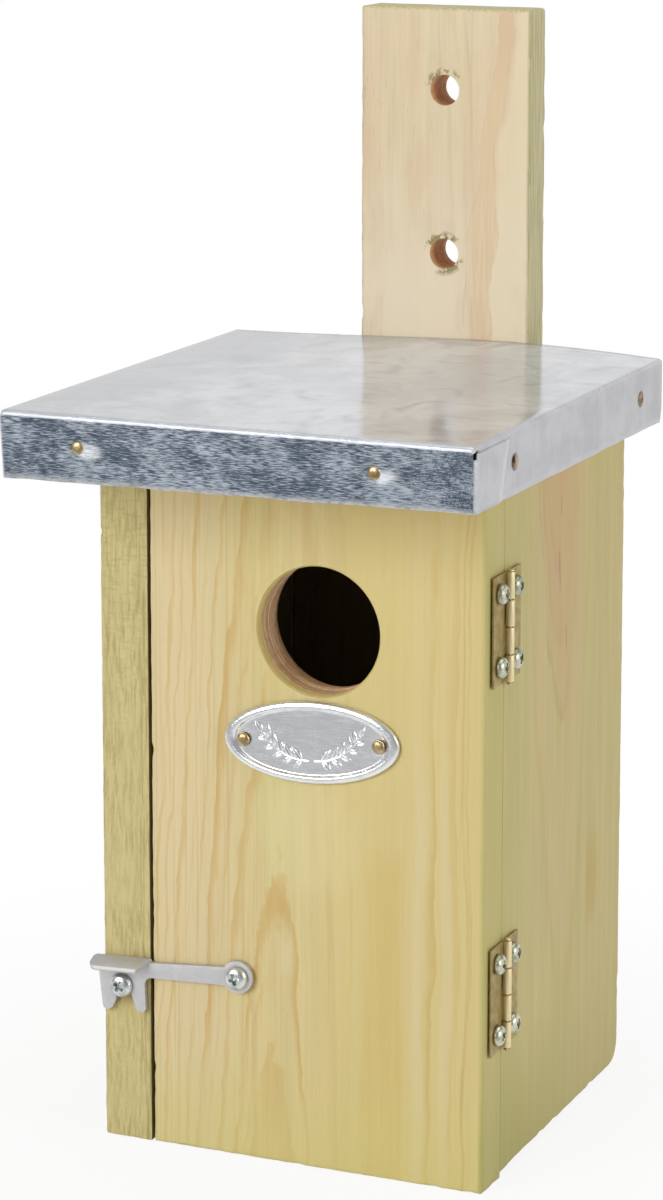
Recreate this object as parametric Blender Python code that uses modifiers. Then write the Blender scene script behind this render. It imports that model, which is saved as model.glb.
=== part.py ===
"""Wren nest box: a pine case with a hinged front, a folded zinc roof cap and a mounting batten.

Metres, +Z up, +X towards the hinges, -Y towards the front. The origin lies on the ground, under the
middle of the whole box. The front swings on the hinge pins, and the latch lifts on its own screw.
"""

import math

import bmesh
import bpy
from mathutils import Matrix, Vector

# Clearances
SEAT_GAP = 0.0003
RUNNING_GAP = 0.0004
OVERRUN = 0.002
MERGE = 0.00001

# Case
BODY_WIDTH = 0.102
BODY_DEPTH = 0.0994
BODY_HEIGHT = 0.1764
SIDE_THICKNESS = 0.013
BACK_THICKNESS = 0.013
FLOOR_THICKNESS = 0.013
EDGE_EASE = 0.0006
HEEL_RADIUS = 0.006
HINGE_SIDE_LIFT = 0.0013

# Front door
DOOR_THICKNESS = 0.012
DOOR_BACK_GAP = 0.0005
DOOR_EDGE_GAP = 0.0007
DOOR_TOP_GAP = 0.001
ENTRANCE = 0.032
ENTRANCE_DOWN = 0.0375
ENTRANCE_ASIDE = 0.0009

# Roof
ROOF_THICKNESS = 0.013
ROOF_SIDE_OVERHANG = 0.0092
ROOF_FRONT_OVERHANG = 0.0321
SHEET_THICKNESS = 0.0005
FASCIA_HEIGHT = 0.016
BEND_RADIUS = 0.0012
WRAP_LENGTH = 0.0223

# Mounting batten
BATTEN_WIDTH = 0.0473
BATTEN_THICKNESS = 0.012
BATTEN_LENGTH = 0.2793
BATTEN_EASE = 0.001
HANG_HOLE = 0.008
HANG_HOLE_DOWN = 0.0214
HANG_HOLE_PITCH = 0.043

# Oval plate
PLATE_LENGTH = 0.0463
PLATE_HEIGHT = 0.0206
PLATE_BELOW_ENTRANCE = 0.0275
PLATE_ASIDE = -0.0006
PLATE_TILT = math.radians(3.1)
PLATE_THICKNESS = 0.0005
PLATE_RIM_RISE = 0.0012
PLATE_RIM_WIDTH = 0.0021
PLATE_END_SHARE = 1.45
PLATE_CREST_SHARES = (0.2, 0.6)
PLATE_NAIL_SPAN = 0.0358

# Hinges
HINGE_LENGTH = 0.027
HINGE_DOWN = 0.0345
HINGE_UP = 0.0473
KNUCKLES = 4
LEAF_WIDTH = 0.0092
LEAF_THICKNESS = 0.0005
BARREL_RADIUS = 0.00105
PIN_RADIUS = 0.00045
PIN_HEAD_RADIUS = 0.0009
PIN_HEAD_RISE = 0.0005
PIN_CROWN_SHARE = 0.6
PIN_HEIGHT = 0.0016
HINGE_SCREW_PITCH = 0.018
HINGE_SCREW_OUT = 0.005

# Latch
LATCH_THICKNESS = 0.0012
PIVOT_INSET = 0.0238
PIVOT_HEIGHT = 0.0467
CATCH_INSET = 0.0057
CATCH_DROP = 0.0062
LATCH_DROOP = math.radians(2.7)
ARM_HEIGHT = 0.0046
EYE_RADIUS = 0.0041
CROOK_RADIUS = 0.002
HOOK_WIDTH = 0.0125
HOOK_BEYOND_NOTCH = 0.0062
PRONG_DROP = 0.0068
PRONG_TAPER = 0.0005
PRONG_ROUND = 0.0012
NOTCH_SHOULDER = 0.004
NOTCH_MOUTH_LEFT = 0.0032
NOTCH_MOUTH_RIGHT = 0.0037
FINGER_DEPTH = 0.0053
FINGER_BEYOND_HOOK = 0.001
FINGER_CORNER = 0.0022
FINGER_SLOPE = math.radians(20)
FINGER_BEYOND_PRONG = 0.002

# Screws with a pan head, larger for the latch than for the hinges
PAN_HEAD_SHARES = ((0, 1), (0.5, 0.97), (0.82, 0.78), (1, 0.36), (1, 0))
LATCH_SCREW_HEAD_RADIUS = 0.0031
LATCH_SCREW_HEAD_RISE = 0.0018
LATCH_SCREW_RADIUS = 0.0015
LATCH_SCREW_LENGTH = 0.0108
HINGE_SCREW_HEAD_RADIUS = 0.00265
HINGE_SCREW_HEAD_RISE = 0.0018
HINGE_SCREW_RADIUS = 0.00125
HINGE_SCREW_LENGTH = 0.0098

# The point and the cross recess of every screw
SCREW_TIP = 0.0025
RECESS_SPAN_SHARE = 1.15
RECESS_WIDTH = 0.0009
RECESS_DEPTH = 0.0012

# Countersunk screws, for the boards
SUNK_HEAD_RADIUS = 0.003
SUNK_LIP = 0.0003
SUNK_SHANK_RADIUS = 0.0015
CASE_SCREW_LENGTH = 0.030
BATTEN_SCREW_LENGTH = 0.020
ROOF_SCREW_FRONT = 0.025
ROOF_SCREW_BACK = 0.070
BACK_SCREW_INSET = 0.026
FLOOR_SCREW_INSET = 0.021
BATTEN_SCREW_SPAN = 0.024
BATTEN_SCREW_LOW = 0.040
BATTEN_SCREW_DOWN = 0.0264

# Round-headed nails, for the roof sheet and the plate
NAIL_HEAD_RADIUS = 0.0017
NAIL_HEAD_RISE = 0.0008
NAIL_HEAD_SHARES = ((0, 1), (0.5, 0.9), (0.85, 0.55), (1, 0))
NAIL_RADIUS = 0.0007
NAIL_TIP = 0.0015
ROOF_NAIL_LENGTH = 0.012
PLATE_NAIL_LENGTH = 0.0085
FRONT_NAIL_LEFT_INSET = 0.0202
FRONT_NAIL_RIGHT_INSET = 0.0242
SIDE_NAIL_FRONT_INSET = 0.0252
SIDE_NAIL_BACK_INSET = 0.0164

# Facets round each kind of turned piece
ENTRANCE_SIDES = 64
HANG_HOLE_SIDES = 32
SCREW_SIDES = 16
NAIL_SIDES = 12
BARREL_SIDES = 20
PLATE_SIDES = 48
ARC_STEPS = 6
TIP_STEPS = 3
EYE_STEPS = 22

# Places that follow from the sizes
HALF_WIDTH = BODY_WIDTH / 2
BATTEN_FACE = BODY_DEPTH + SEAT_GAP
DEPTH_BEHIND_FRONT = BATTEN_FACE + BATTEN_THICKNESS
DEPTH_BEFORE_FRONT = ROOF_FRONT_OVERHANG + SEAT_GAP + NAIL_HEAD_RISE
FRONT = (DEPTH_BEFORE_FRONT - DEPTH_BEHIND_FRONT) / 2
BACK = FRONT + BODY_DEPTH
SIDE_FRONT = FRONT + DOOR_THICKNESS + DOOR_BACK_GAP
INNER_HALF = HALF_WIDTH - SIDE_THICKNESS
BACK_WALL_FRONT = BACK - BACK_THICKNESS
ROOF_UNDERSIDE = BODY_HEIGHT + SEAT_GAP
ROOF_BOARD_TOP = ROOF_UNDERSIDE + ROOF_THICKNESS
SHEET_TOP = ROOF_BOARD_TOP + SEAT_GAP + SHEET_THICKNESS
FASCIA_BOTTOM = SHEET_TOP - FASCIA_HEIGHT
ROOF_HALF = HALF_WIDTH + ROOF_SIDE_OVERHANG
ROOF_FRONT = FRONT - ROOF_FRONT_OVERHANG
SHEET_LINING = SHEET_THICKNESS + SEAT_GAP
DOOR_TOP = FASCIA_BOTTOM - DOOR_TOP_GAP
DOOR_LEFT = DOOR_EDGE_GAP - INNER_HALF
DOOR_MIDDLE = (DOOR_LEFT + HALF_WIDTH) / 2
ENTRANCE_X = DOOR_MIDDLE + ENTRANCE_ASIDE
ENTRANCE_Z = DOOR_TOP - ENTRANCE_DOWN
PLATE_CENTRE = Vector((DOOR_MIDDLE + PLATE_ASIDE, FRONT - SEAT_GAP, ENTRANCE_Z - PLATE_BELOW_ENTRANCE))
NAIL_LEVEL = ROOF_UNDERSIDE + ROOF_THICKNESS / 2
PIN_X = HALF_WIDTH + PIN_HEIGHT
PIN_Y = FRONT + DOOR_THICKNESS + DOOR_BACK_GAP / 2
HINGE_LEVELS = {"upper": DOOR_TOP - HINGE_DOWN, "lower": HINGE_UP}
LEAF_FACE = SEAT_GAP + LEAF_THICKNESS - PIN_HEIGHT
LATCH_MIDDLE = SEAT_GAP + LATCH_THICKNESS / 2
LATCH_FACE = FRONT - SEAT_GAP - LATCH_THICKNESS
PIVOT = Vector((DOOR_LEFT + PIVOT_INSET, FRONT, PIVOT_HEIGHT))
CATCH = Vector((CATCH_INSET - HALF_WIDTH, FRONT, PIVOT_HEIGHT - CATCH_DROP))
LEFT = Vector((-1, 0, 0))
RIGHT = Vector((1, 0, 0))
FORWARD = Vector((0, -1, 0))
REARWARD = Vector((0, 1, 0))
UPWARD = Vector((0, 0, 1))
ON_END = Matrix(((0, 0, 1, 0), (1, 0, 0, 0), (0, 1, 0, 0), (0, 0, 0, 1)))


def clear_scene():
    """Empties the scene, so that a second run starts afresh."""
    for old in list(bpy.data.objects):
        bpy.data.objects.remove(old)
    for old in list(bpy.data.collections):
        bpy.data.collections.remove(old)


def new_collection(name):
    """A collection linked to the scene."""
    made = bpy.data.collections.new(name)
    bpy.context.scene.collection.children.link(made)
    return made


clear_scene()
PARTS = new_collection("wren_birdhouse")
CUTTERS = new_collection("cutters")


def look(name, colour, roughness, metallic=0.0):
    """A Principled material."""
    made = bpy.data.materials.new(name)
    made.use_nodes = True
    shader = made.node_tree.nodes["Principled BSDF"]
    shader.inputs["Base Color"].default_value = (*colour, 1.0)
    shader.inputs["Roughness"].default_value = roughness
    shader.inputs["Metallic"].default_value = metallic
    return made


PINE = look("pressure_treated_pine", (0.62, 0.50, 0.24), 0.65)
PALE_PINE = look("pale_pine", (0.74, 0.60, 0.40), 0.65)
ZINC = look("galvanised_sheet", (0.62, 0.64, 0.68), 0.35, 1.0)
ALUMINIUM = look("pressed_aluminium", (0.80, 0.81, 0.83), 0.25, 1.0)
BRASS = look("brass_plating", (0.66, 0.50, 0.25), 0.35, 1.0)
LATCH_STEEL = look("satin_zinc_steel", (0.66, 0.66, 0.67), 0.45, 1.0)
SCREW_STEEL = look("bright_zinc_steel", (0.75, 0.77, 0.78), 0.25, 1.0)


def origin_of(holder):
    """The world place of an unturned empty."""
    place = Vector()
    while holder:
        place += holder.location
        holder = holder.parent
    return place


def pivot_empty(name, location, parent=None):
    """An empty on a joint's axis, which carries the pieces that move with it."""
    made = bpy.data.objects.new(name, None)
    PARTS.objects.link(made)
    made.location = location - origin_of(parent)
    made.parent = parent
    made.empty_display_size = BODY_WIDTH / 10
    return made


def add(name, mesh, location, material, parent=None, rotation=(0, 0, 0)):
    """A sub-part at a world place, carried by an empty where it moves."""
    made = bpy.data.objects.new(name, mesh)
    PARTS.objects.link(made)
    made.location = Vector(location) - origin_of(parent)
    made.rotation_euler = rotation
    made.parent = parent
    made.data.materials.clear()
    made.data.materials.append(material)
    return made


def add_cutter(name, mesh, location, parent=None, rotation=(0, 0, 0)):
    """A shape that is only cut out of, or joined to, other pieces."""
    made = bpy.data.objects.new(name, mesh)
    CUTTERS.objects.link(made)
    made.location = Vector(location) - origin_of(parent)
    made.rotation_euler = rotation
    made.parent = parent
    made.hide_render = True
    made.display_type = "WIRE"
    return made


def combine(target, tool, operation="DIFFERENCE"):
    """Cuts the tool out of the target, or joins the two."""
    step = target.modifiers.new(f"{operation.lower()} {tool.name}", "BOOLEAN")
    step.operation = operation
    step.solver = "EXACT"
    step.object = tool


def mesh_from(name, bm):
    """A mesh from a bmesh, which is freed."""
    made = bpy.data.meshes.new(name)
    bm.to_mesh(made)
    bm.free()
    return made


def baked(source):
    """The finished mesh of a scratch object, welded and facing out; the scratch object goes."""
    graph = bpy.context.evaluated_depsgraph_get()
    made = bpy.data.meshes.new_from_object(source.evaluated_get(graph))
    bm = bmesh.new()
    bm.from_mesh(made)
    bmesh.ops.remove_doubles(bm, verts=bm.verts, dist=MERGE)
    bmesh.ops.recalc_face_normals(bm, faces=bm.faces)
    bm.to_mesh(made)
    bm.free()
    bpy.data.objects.remove(source)
    return made


def block_mesh(name, size):
    """A box round its own middle."""
    bm = bmesh.new()
    bmesh.ops.create_cube(bm, size=1)
    bmesh.ops.scale(bm, vec=size, verts=bm.verts)
    return mesh_from(name, bm)


def rod_mesh(name, radius, length, sides):
    """A plain cylinder along Z, round its own middle."""
    bm = bmesh.new()
    bmesh.ops.create_cone(bm, cap_ends=True, segments=sides, radius1=radius, radius2=radius, depth=length)
    return mesh_from(name, bm)


def outline_mesh(name, outline, thickness):
    """A flat plate in the XY plane, cut to an outline, with its middle plane at zero."""
    curve = bpy.data.curves.new(name, "CURVE")
    curve.dimensions = "2D"
    curve.fill_mode = "BOTH"
    curve.extrude = thickness / 2
    spline = curve.splines.new("POLY")
    spline.points.add(len(outline) - 1)
    for point, (x, y) in zip(spline.points, outline):
        point.co = (x, y, 0, 1)
    spline.use_cyclic_u = True
    scratch = bpy.data.objects.new(name, curve)
    CUTTERS.objects.link(scratch)
    made = baked(scratch)
    made.shade_flat()
    bpy.data.curves.remove(curve)
    return made


def turned_mesh(name, profile, sides):
    """A solid turned about Z from radius and height pairs, which run down its outer side."""
    bm = bmesh.new()
    points = [bm.verts.new((radius, 0, height)) for radius, height in profile]
    for upper, lower in zip(points, points[1:]):
        bm.edges.new((upper, lower))
    scratch = bpy.data.objects.new(name, mesh_from(name, bm))
    CUTTERS.objects.link(scratch)
    turn = scratch.modifiers.new("turn", "SCREW")
    turn.steps = sides
    turn.render_steps = sides
    turn.use_merge_vertices = True
    turn.merge_threshold = MERGE
    return baked(scratch)


def shade_round(mesh):
    """Smooth shading that keeps the sharp corners of a turned piece."""
    mesh.shade_smooth()
    mesh.set_sharp_from_angle(angle=math.radians(40))


def arc(centre, radius, start, end, steps):
    """Points round a circle from one angle to another, in degrees."""
    turns = [math.radians(start + (end - start) * step / steps) for step in range(steps + 1)]
    return [(centre[0] + radius * math.cos(a), centre[1] + radius * math.sin(a)) for a in turns]


def ease(piece, width):
    """Rounds the sharp edges of a board."""
    bevel = piece.modifiers.new("eased edges", "BEVEL")
    bevel.width = width
    bevel.segments = 2
    bevel.limit_method = "ANGLE"
    bevel.angle_limit = math.radians(40)


def board(name, low, high, material, parent=None, edge=EDGE_EASE):
    """A planed board between two corners."""
    low, high = Vector(low), Vector(high)
    piece = add(name, block_mesh(name, high - low), (low + high) / 2, material, parent)
    ease(piece, edge)
    return piece


def bored(piece, name, centre, direction, diameter, depth, sides):
    """Cuts a round hole through a piece, with its middle at a world place."""
    tool = rod_mesh(name, diameter / 2, depth + 2 * OVERRUN, sides)
    turn = direction.to_track_quat("Z", "Y").to_euler()
    combine(piece, add_cutter(name, tool, centre, piece.parent, turn))


# Fasteners
# Each kind has a mesh with the underside of its head at zero and its shank down -Z, and a drill that
# follows it with a seat gap all round.


def with_cross_recess(name, mesh, top, head_radius):
    """Cuts the driver's cross into the top of a screw's head."""
    scratch = bpy.data.objects.new(name, mesh)
    CUTTERS.objects.link(scratch)
    span = head_radius * RECESS_SPAN_SHARE
    tools = []
    for index, size in enumerate([(span, RECESS_WIDTH), (RECESS_WIDTH, span)]):
        slot = block_mesh(f"{name} slot {index}", (*size, 2 * RECESS_DEPTH))
        tools.append(add_cutter(slot.name, slot, (0, 0, top)))
        combine(scratch, tools[-1])
    made = baked(scratch)
    for tool in tools:
        bpy.data.objects.remove(tool)
    return made


def drill_mesh(name, shank, length, sides):
    """A straight hole for a shank, a seat gap wider and deeper than it."""
    hole = shank + SEAT_GAP
    end = -length - SEAT_GAP
    return turned_mesh(name, [(0, OVERRUN), (hole, OVERRUN), (hole, end), (0, end)], sides)


def pan_screw_kind(name, rim, rise, radius, length):
    """A pan-head screw and its straight hole."""
    head = [(out * rim, up * rise) for out, up in PAN_HEAD_SHARES]
    shank = [(radius, 0), (radius, SCREW_TIP - length), (0, -length)]
    mesh = with_cross_recess(name, turned_mesh(name, head + shank, SCREW_SIDES), rise, rim)
    shade_round(mesh)
    return mesh, drill_mesh(f"{name}_drill", radius, length, SCREW_SIDES)


def sunk_screw_kind(name, length):
    """A countersunk screw with its head just under the surface, and its coned hole."""
    top = -SEAT_GAP
    rim = SUNK_HEAD_RADIUS
    radius = SUNK_SHANK_RADIUS
    cone = rim - radius
    head = [(0, top), (rim, top), (rim, top - SUNK_LIP), (radius, top - SUNK_LIP - cone)]
    shank = [(radius, SCREW_TIP - length), (0, -length)]
    mesh = with_cross_recess(name, turned_mesh(name, head + shank, SCREW_SIDES), top, rim)
    shade_round(mesh)
    wide = rim + SEAT_GAP
    hole = radius + SEAT_GAP
    neck = top - SUNK_LIP - SEAT_GAP
    profile = [
        (0, OVERRUN),
        (wide, OVERRUN),
        (wide, neck),
        (hole, neck - cone),
        (hole, -length - SEAT_GAP),
        (0, -length - SEAT_GAP),
    ]
    return mesh, turned_mesh(f"{name}_drill", profile, SCREW_SIDES)


def nail_kind(name, length):
    """A round-headed nail and its straight hole."""
    head = [(out * NAIL_HEAD_RADIUS, up * NAIL_HEAD_RISE) for out, up in NAIL_HEAD_SHARES]
    shank = [(NAIL_RADIUS, 0), (NAIL_RADIUS, NAIL_TIP - length), (0, -length)]
    mesh = turned_mesh(name, head + shank, NAIL_SIDES)
    shade_round(mesh)
    return mesh, drill_mesh(f"{name}_drill", NAIL_RADIUS, length, NAIL_SIDES)


def fasten(name, kind, seat, direction, pieces, material, parent=None, turn=0):
    """Drives a fastener with its head's seat at a world place, facing a direction, through the pieces."""
    mesh, drill = kind
    heading = direction.to_track_quat("Z", "Y") @ Matrix.Rotation(turn, 3, "Z").to_quaternion()
    made = add(name, mesh, seat, material, parent, heading.to_euler())
    for piece in pieces:
        tool = add_cutter(f"{name} in {piece.name}", drill, seat, piece.parent, heading.to_euler())
        combine(piece, tool)
    return made


LATCH_SCREW = pan_screw_kind(
    "latch_screw",
    LATCH_SCREW_HEAD_RADIUS,
    LATCH_SCREW_HEAD_RISE,
    LATCH_SCREW_RADIUS,
    LATCH_SCREW_LENGTH,
)
HINGE_SCREW = pan_screw_kind(
    "hinge_screw",
    HINGE_SCREW_HEAD_RADIUS,
    HINGE_SCREW_HEAD_RISE,
    HINGE_SCREW_RADIUS,
    HINGE_SCREW_LENGTH,
)
CASE_SCREW = sunk_screw_kind("case_screw", CASE_SCREW_LENGTH)
BATTEN_SCREW = sunk_screw_kind("batten_screw", BATTEN_SCREW_LENGTH)
ROOF_NAIL = nail_kind("roof_nail", ROOF_NAIL_LENGTH)
PLATE_NAIL = nail_kind("plate_nail", PLATE_NAIL_LENGTH)


# Joints
# The door turns about the hinge pins and carries the latch, which turns about its screw.
DOOR_PIVOT = pivot_empty("door_pivot", Vector((PIN_X, PIN_Y, 0)))
LATCH_PIVOT = pivot_empty("latch_pivot", PIVOT, DOOR_PIVOT)


def side_board(name, outer, inner, front, bottom):
    """A side board: its profile, with a rounded heel at the back, across its thickness."""
    heel = arc((BACK - HEEL_RADIUS, bottom + HEEL_RADIUS), HEEL_RADIUS, -90, 0, ARC_STEPS)
    outline = [(front, bottom), *heel, (BACK, BODY_HEIGHT), (front, BODY_HEIGHT)]
    mesh = outline_mesh(name, outline, abs(outer - inner))
    mesh.transform(ON_END)
    piece = add(name, mesh, ((outer + inner) / 2, 0, 0), PINE)
    ease(piece, EDGE_EASE)
    return piece


def case():
    """The fixed case: two sides, the back between them, and the floor in front of the back."""
    left = side_board("left_side_board", -HALF_WIDTH, -INNER_HALF, FRONT, 0)
    right = side_board("right_side_board", HALF_WIDTH, INNER_HALF, SIDE_FRONT, HINGE_SIDE_LIFT)
    reach = INNER_HALF - SEAT_GAP
    back = board("back_wall", (-reach, BACK_WALL_FRONT, 0), (reach, BACK, BODY_HEIGHT), PINE)
    floor_back = BACK_WALL_FRONT - SEAT_GAP
    floor = board("floor_board", (-reach, SIDE_FRONT, 0), (reach, floor_back, FLOOR_THICKNESS), PINE)
    for side, sign in (("left", -1), ("right", 1)):
        seat = Vector((sign * (HALF_WIDTH - FLOOR_SCREW_INSET), BACK, FLOOR_THICKNESS / 2))
        fasten(f"{side}_floor_screw", CASE_SCREW, seat, REARWARD, [back, floor], SCREW_STEEL)
    return left, right, back


def batten(back):
    """The mounting batten behind the back wall, with its two hanging holes."""
    half = BATTEN_WIDTH / 2
    front = FRONT + BATTEN_FACE
    rear = front + BATTEN_THICKNESS
    low = (-half, front, 0)
    high = (half, rear, BATTEN_LENGTH)
    piece = board("mounting_batten", low, high, PALE_PINE, edge=BATTEN_EASE)
    for index, name in enumerate(("upper", "lower")):
        level = BATTEN_LENGTH - HANG_HOLE_DOWN - index * HANG_HOLE_PITCH
        centre = (0, (front + rear) / 2, level)
        bored(piece, f"{name} hanging hole", centre, REARWARD, HANG_HOLE, BATTEN_THICKNESS, HANG_HOLE_SIDES)
    for row, level in (("lower", BATTEN_SCREW_LOW), ("upper", BODY_HEIGHT - BATTEN_SCREW_DOWN)):
        for side, sign in (("left", -1), ("right", 1)):
            seat = Vector((sign * BATTEN_SCREW_SPAN / 2, rear, level))
            name = f"{row}_{side}_batten_screw"
            fasten(name, BATTEN_SCREW, seat, REARWARD, [piece, back], SCREW_STEEL)
    return piece


def corner_wrap(sheet, side, sign):
    """The end of the front fascia, folded back over the side fascia."""
    outer = ROOF_HALF + SHEET_THICKNESS
    lap = ROOF_HALF - SHEET_THICKNESS / 2
    inner = ROOF_HALF - BEND_RADIUS
    behind = ROOF_FRONT + SHEET_THICKNESS
    rear = ROOF_FRONT + WRAP_LENGTH
    fold = arc((outer - BEND_RADIUS, ROOF_FRONT + BEND_RADIUS), BEND_RADIUS, -90, 0, ARC_STEPS)
    outline = [(inner, ROOF_FRONT), *fold, (outer, rear), (lap, rear), (lap, behind), (inner, behind)]
    top = SHEET_TOP - BEND_RADIUS - SHEET_THICKNESS
    mesh = outline_mesh(f"{side} wrap", [(sign * x, y) for x, y in outline], top - FASCIA_BOTTOM)
    combine(sheet, add_cutter(f"{side} wrap", mesh, (0, 0, (top + FASCIA_BOTTOM) / 2)), "UNION")


def roof_sheet():
    """The folded cap: a top with a fascia at the front and at each side, open at the back."""
    size = Vector((2 * ROOF_HALF, BACK - ROOF_FRONT, FASCIA_HEIGHT))
    bm = bmesh.new()
    bmesh.ops.create_cube(bm, size=1)
    bmesh.ops.scale(bm, vec=size, verts=bm.verts)
    open_sides = [face for face in bm.faces if face.normal.z < -0.5 or face.normal.y > 0.5]
    bmesh.ops.delete(bm, geom=open_sides, context="FACES")
    centre = (0, (BACK + ROOF_FRONT) / 2, (SHEET_TOP + FASCIA_BOTTOM) / 2)
    sheet = add("roof_sheet", mesh_from("roof_sheet", bm), centre, ZINC)
    bend = sheet.modifiers.new("bends", "BEVEL")
    bend.width = BEND_RADIUS
    bend.segments = 3
    bend.limit_method = "ANGLE"
    shell = sheet.modifiers.new("thickness", "SOLIDIFY")
    shell.thickness = SHEET_THICKNESS
    shell.offset = -1
    shell.use_even_offset = True
    corner_wrap(sheet, "left", -1)
    corner_wrap(sheet, "right", 1)
    return sheet


def roof(left, right, back):
    """The roof board, screwed down to the case, under its nailed sheet."""
    side = ROOF_HALF - SHEET_LINING
    low = (-side, ROOF_FRONT + SHEET_LINING, ROOF_UNDERSIDE)
    deck = board("roof_board", low, (side, BACK, ROOF_BOARD_TOP), PINE)
    middle = HALF_WIDTH - SIDE_THICKNESS / 2
    for name, carrier, sign in (("left", left, -1), ("right", right, 1)):
        for place, depth in (("front", ROOF_SCREW_FRONT), ("back", ROOF_SCREW_BACK)):
            seat = Vector((sign * middle, FRONT + depth, ROOF_BOARD_TOP))
            fasten(f"{name}_{place}_roof_screw", CASE_SCREW, seat, UPWARD, [deck, carrier], SCREW_STEEL)
        seat = Vector((sign * (HALF_WIDTH - BACK_SCREW_INSET), BACK - BACK_THICKNESS / 2, ROOF_BOARD_TOP))
        fasten(f"{name}_rear_roof_screw", CASE_SCREW, seat, UPWARD, [deck, back], SCREW_STEEL)
    sheet = roof_sheet()
    front_seat = ROOF_FRONT - SEAT_GAP
    front_places = {
        "left": FRONT_NAIL_LEFT_INSET - ROOF_HALF,
        "right": ROOF_HALF - FRONT_NAIL_RIGHT_INSET,
    }
    for name, x in front_places.items():
        seat = Vector((x, front_seat, NAIL_LEVEL))
        fasten(f"front_{name}_roof_nail", ROOF_NAIL, seat, FORWARD, [sheet, deck], BRASS)
    side_places = {"front": ROOF_FRONT + SIDE_NAIL_FRONT_INSET, "back": BACK - SIDE_NAIL_BACK_INSET}
    for name, direction in (("left", LEFT), ("right", RIGHT)):
        for place, y in side_places.items():
            seat = Vector((direction.x * (ROOF_HALF + SEAT_GAP), y, NAIL_LEVEL))
            fasten(f"{name}_{place}_roof_nail", ROOF_NAIL, seat, direction, [sheet, deck], BRASS)


def door():
    """The front, which swings on the hinges, with its round entrance."""
    low = (DOOR_LEFT, FRONT, 0)
    piece = board("front_door", low, (HALF_WIDTH, FRONT + DOOR_THICKNESS, DOOR_TOP), PINE, DOOR_PIVOT)
    centre = (ENTRANCE_X, FRONT + DOOR_THICKNESS / 2, ENTRANCE_Z)
    bored(piece, "entrance", centre, REARWARD, ENTRANCE, DOOR_THICKNESS, ENTRANCE_SIDES)
    return piece


def oval_mesh():
    """The pressed plate: a disc turned in shares of its radius, then drawn out so that its rim is wider
    at the ends than along the sides."""
    half_length = PLATE_LENGTH / 2
    half_height = PLATE_HEIGHT / 2
    rim = PLATE_RIM_WIDTH / half_height
    wall = PLATE_THICKNESS / half_height / 2
    foot = 1 - rim
    shoulder, brow = (1 - rim * share for share in PLATE_CREST_SHARES)
    skin = PLATE_THICKNESS
    crest = PLATE_RIM_RISE
    hollow = crest - skin
    face = [(0, skin), (foot, skin), (brow, crest), (shoulder, crest), (1, skin)]
    ridge = [(shoulder - wall, hollow), (brow + wall, hollow)]
    rear = [(1, 0), (1 - wall, 0), *ridge, (foot + wall, 0), (0, 0)]
    mesh = turned_mesh("oval_plate", face + rear, PLATE_SIDES)
    for vertex in mesh.vertices:
        share = math.hypot(vertex.co.x, vertex.co.y)
        if share > 0:
            inset = (1 - share) * half_height
            vertex.co.x *= (half_length - inset * PLATE_END_SHARE) / share
            vertex.co.y *= half_height
    shade_round(mesh)
    return mesh


def oval_plate(front):
    """The oval plate, nailed to the door a little askew."""
    turn = (math.radians(90), -PLATE_TILT, 0)
    piece = add("oval_plate", oval_mesh(), PLATE_CENTRE, ALUMINIUM, DOOR_PIVOT, turn)
    along = Vector((math.cos(PLATE_TILT), 0, math.sin(PLATE_TILT)))
    outward = FORWARD * (PLATE_THICKNESS + SEAT_GAP)
    for name, sign in (("left", -1), ("right", 1)):
        seat = PLATE_CENTRE + along * (sign * PLATE_NAIL_SPAN / 2) + outward
        fasten(f"{name}_plate_nail", PLATE_NAIL, seat, FORWARD, [piece, front], BRASS, DOOR_PIVOT)


def leaf_outline(sign, first):
    """A leaf in the YZ plane: its inner edge runs under its own knuckles and stands clear of the others."""
    knuckle = HINGE_LENGTH / KNUCKLES
    top = HINGE_LENGTH / 2
    clear = BARREL_RADIUS + RUNNING_GAP
    inner = []
    for index in range(KNUCKLES):
        own = index % 2 == first
        edge = 0 if own else clear
        gap = RUNNING_GAP / 2
        upper = top - index * knuckle + (-gap if own else gap) * (index > 0)
        lower = top - (index + 1) * knuckle + (gap if own else -gap) * (index < KNUCKLES - 1)
        inner += [(sign * edge, upper), (sign * edge, lower)]
    return [(sign * LEAF_WIDTH, top), *inner, (sign * LEAF_WIDTH, -top)]


def hinge_leaf(name, level, sign, first, parent):
    """A flat leaf and its knuckles, rolled round the pin."""
    mesh = outline_mesh(name, leaf_outline(sign, first), LEAF_THICKNESS)
    mesh.transform(Matrix.Translation((LEAF_FACE - LEAF_THICKNESS / 2, 0, 0)) @ ON_END)
    place = Vector((PIN_X, PIN_Y, level))
    leaf = add(name, mesh, place, BRASS, parent)
    knuckle = HINGE_LENGTH / KNUCKLES
    for index in range(first, KNUCKLES, 2):
        height = HINGE_LENGTH / 2 - (index + 0.5) * knuckle
        barrel = rod_mesh(f"{name} knuckle {index}", BARREL_RADIUS, knuckle - RUNNING_GAP, BARREL_SIDES)
        tool = add_cutter(barrel.name, barrel, place + UPWARD * height, parent)
        combine(leaf, tool, "UNION")
    bored(leaf, f"{name} bore", place, UPWARD, 2 * (PIN_RADIUS + SEAT_GAP), HINGE_LENGTH, BARREL_SIDES)
    return leaf


def hinge_pin(name, level):
    """The pin, with its two peened heads."""
    end = HINGE_LENGTH / 2 + SEAT_GAP
    dome = end + PIN_HEAD_RISE
    crown = PIN_HEAD_RADIUS * PIN_CROWN_SHARE
    upper = [(0, dome), (crown, dome), (PIN_HEAD_RADIUS, end), (PIN_RADIUS, end)]
    lower = [(radius, -height) for radius, height in reversed(upper)]
    mesh = turned_mesh(name, upper + lower, SCREW_SIDES)
    shade_round(mesh)
    return add(name, mesh, (PIN_X, PIN_Y, level), BRASS)


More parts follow.
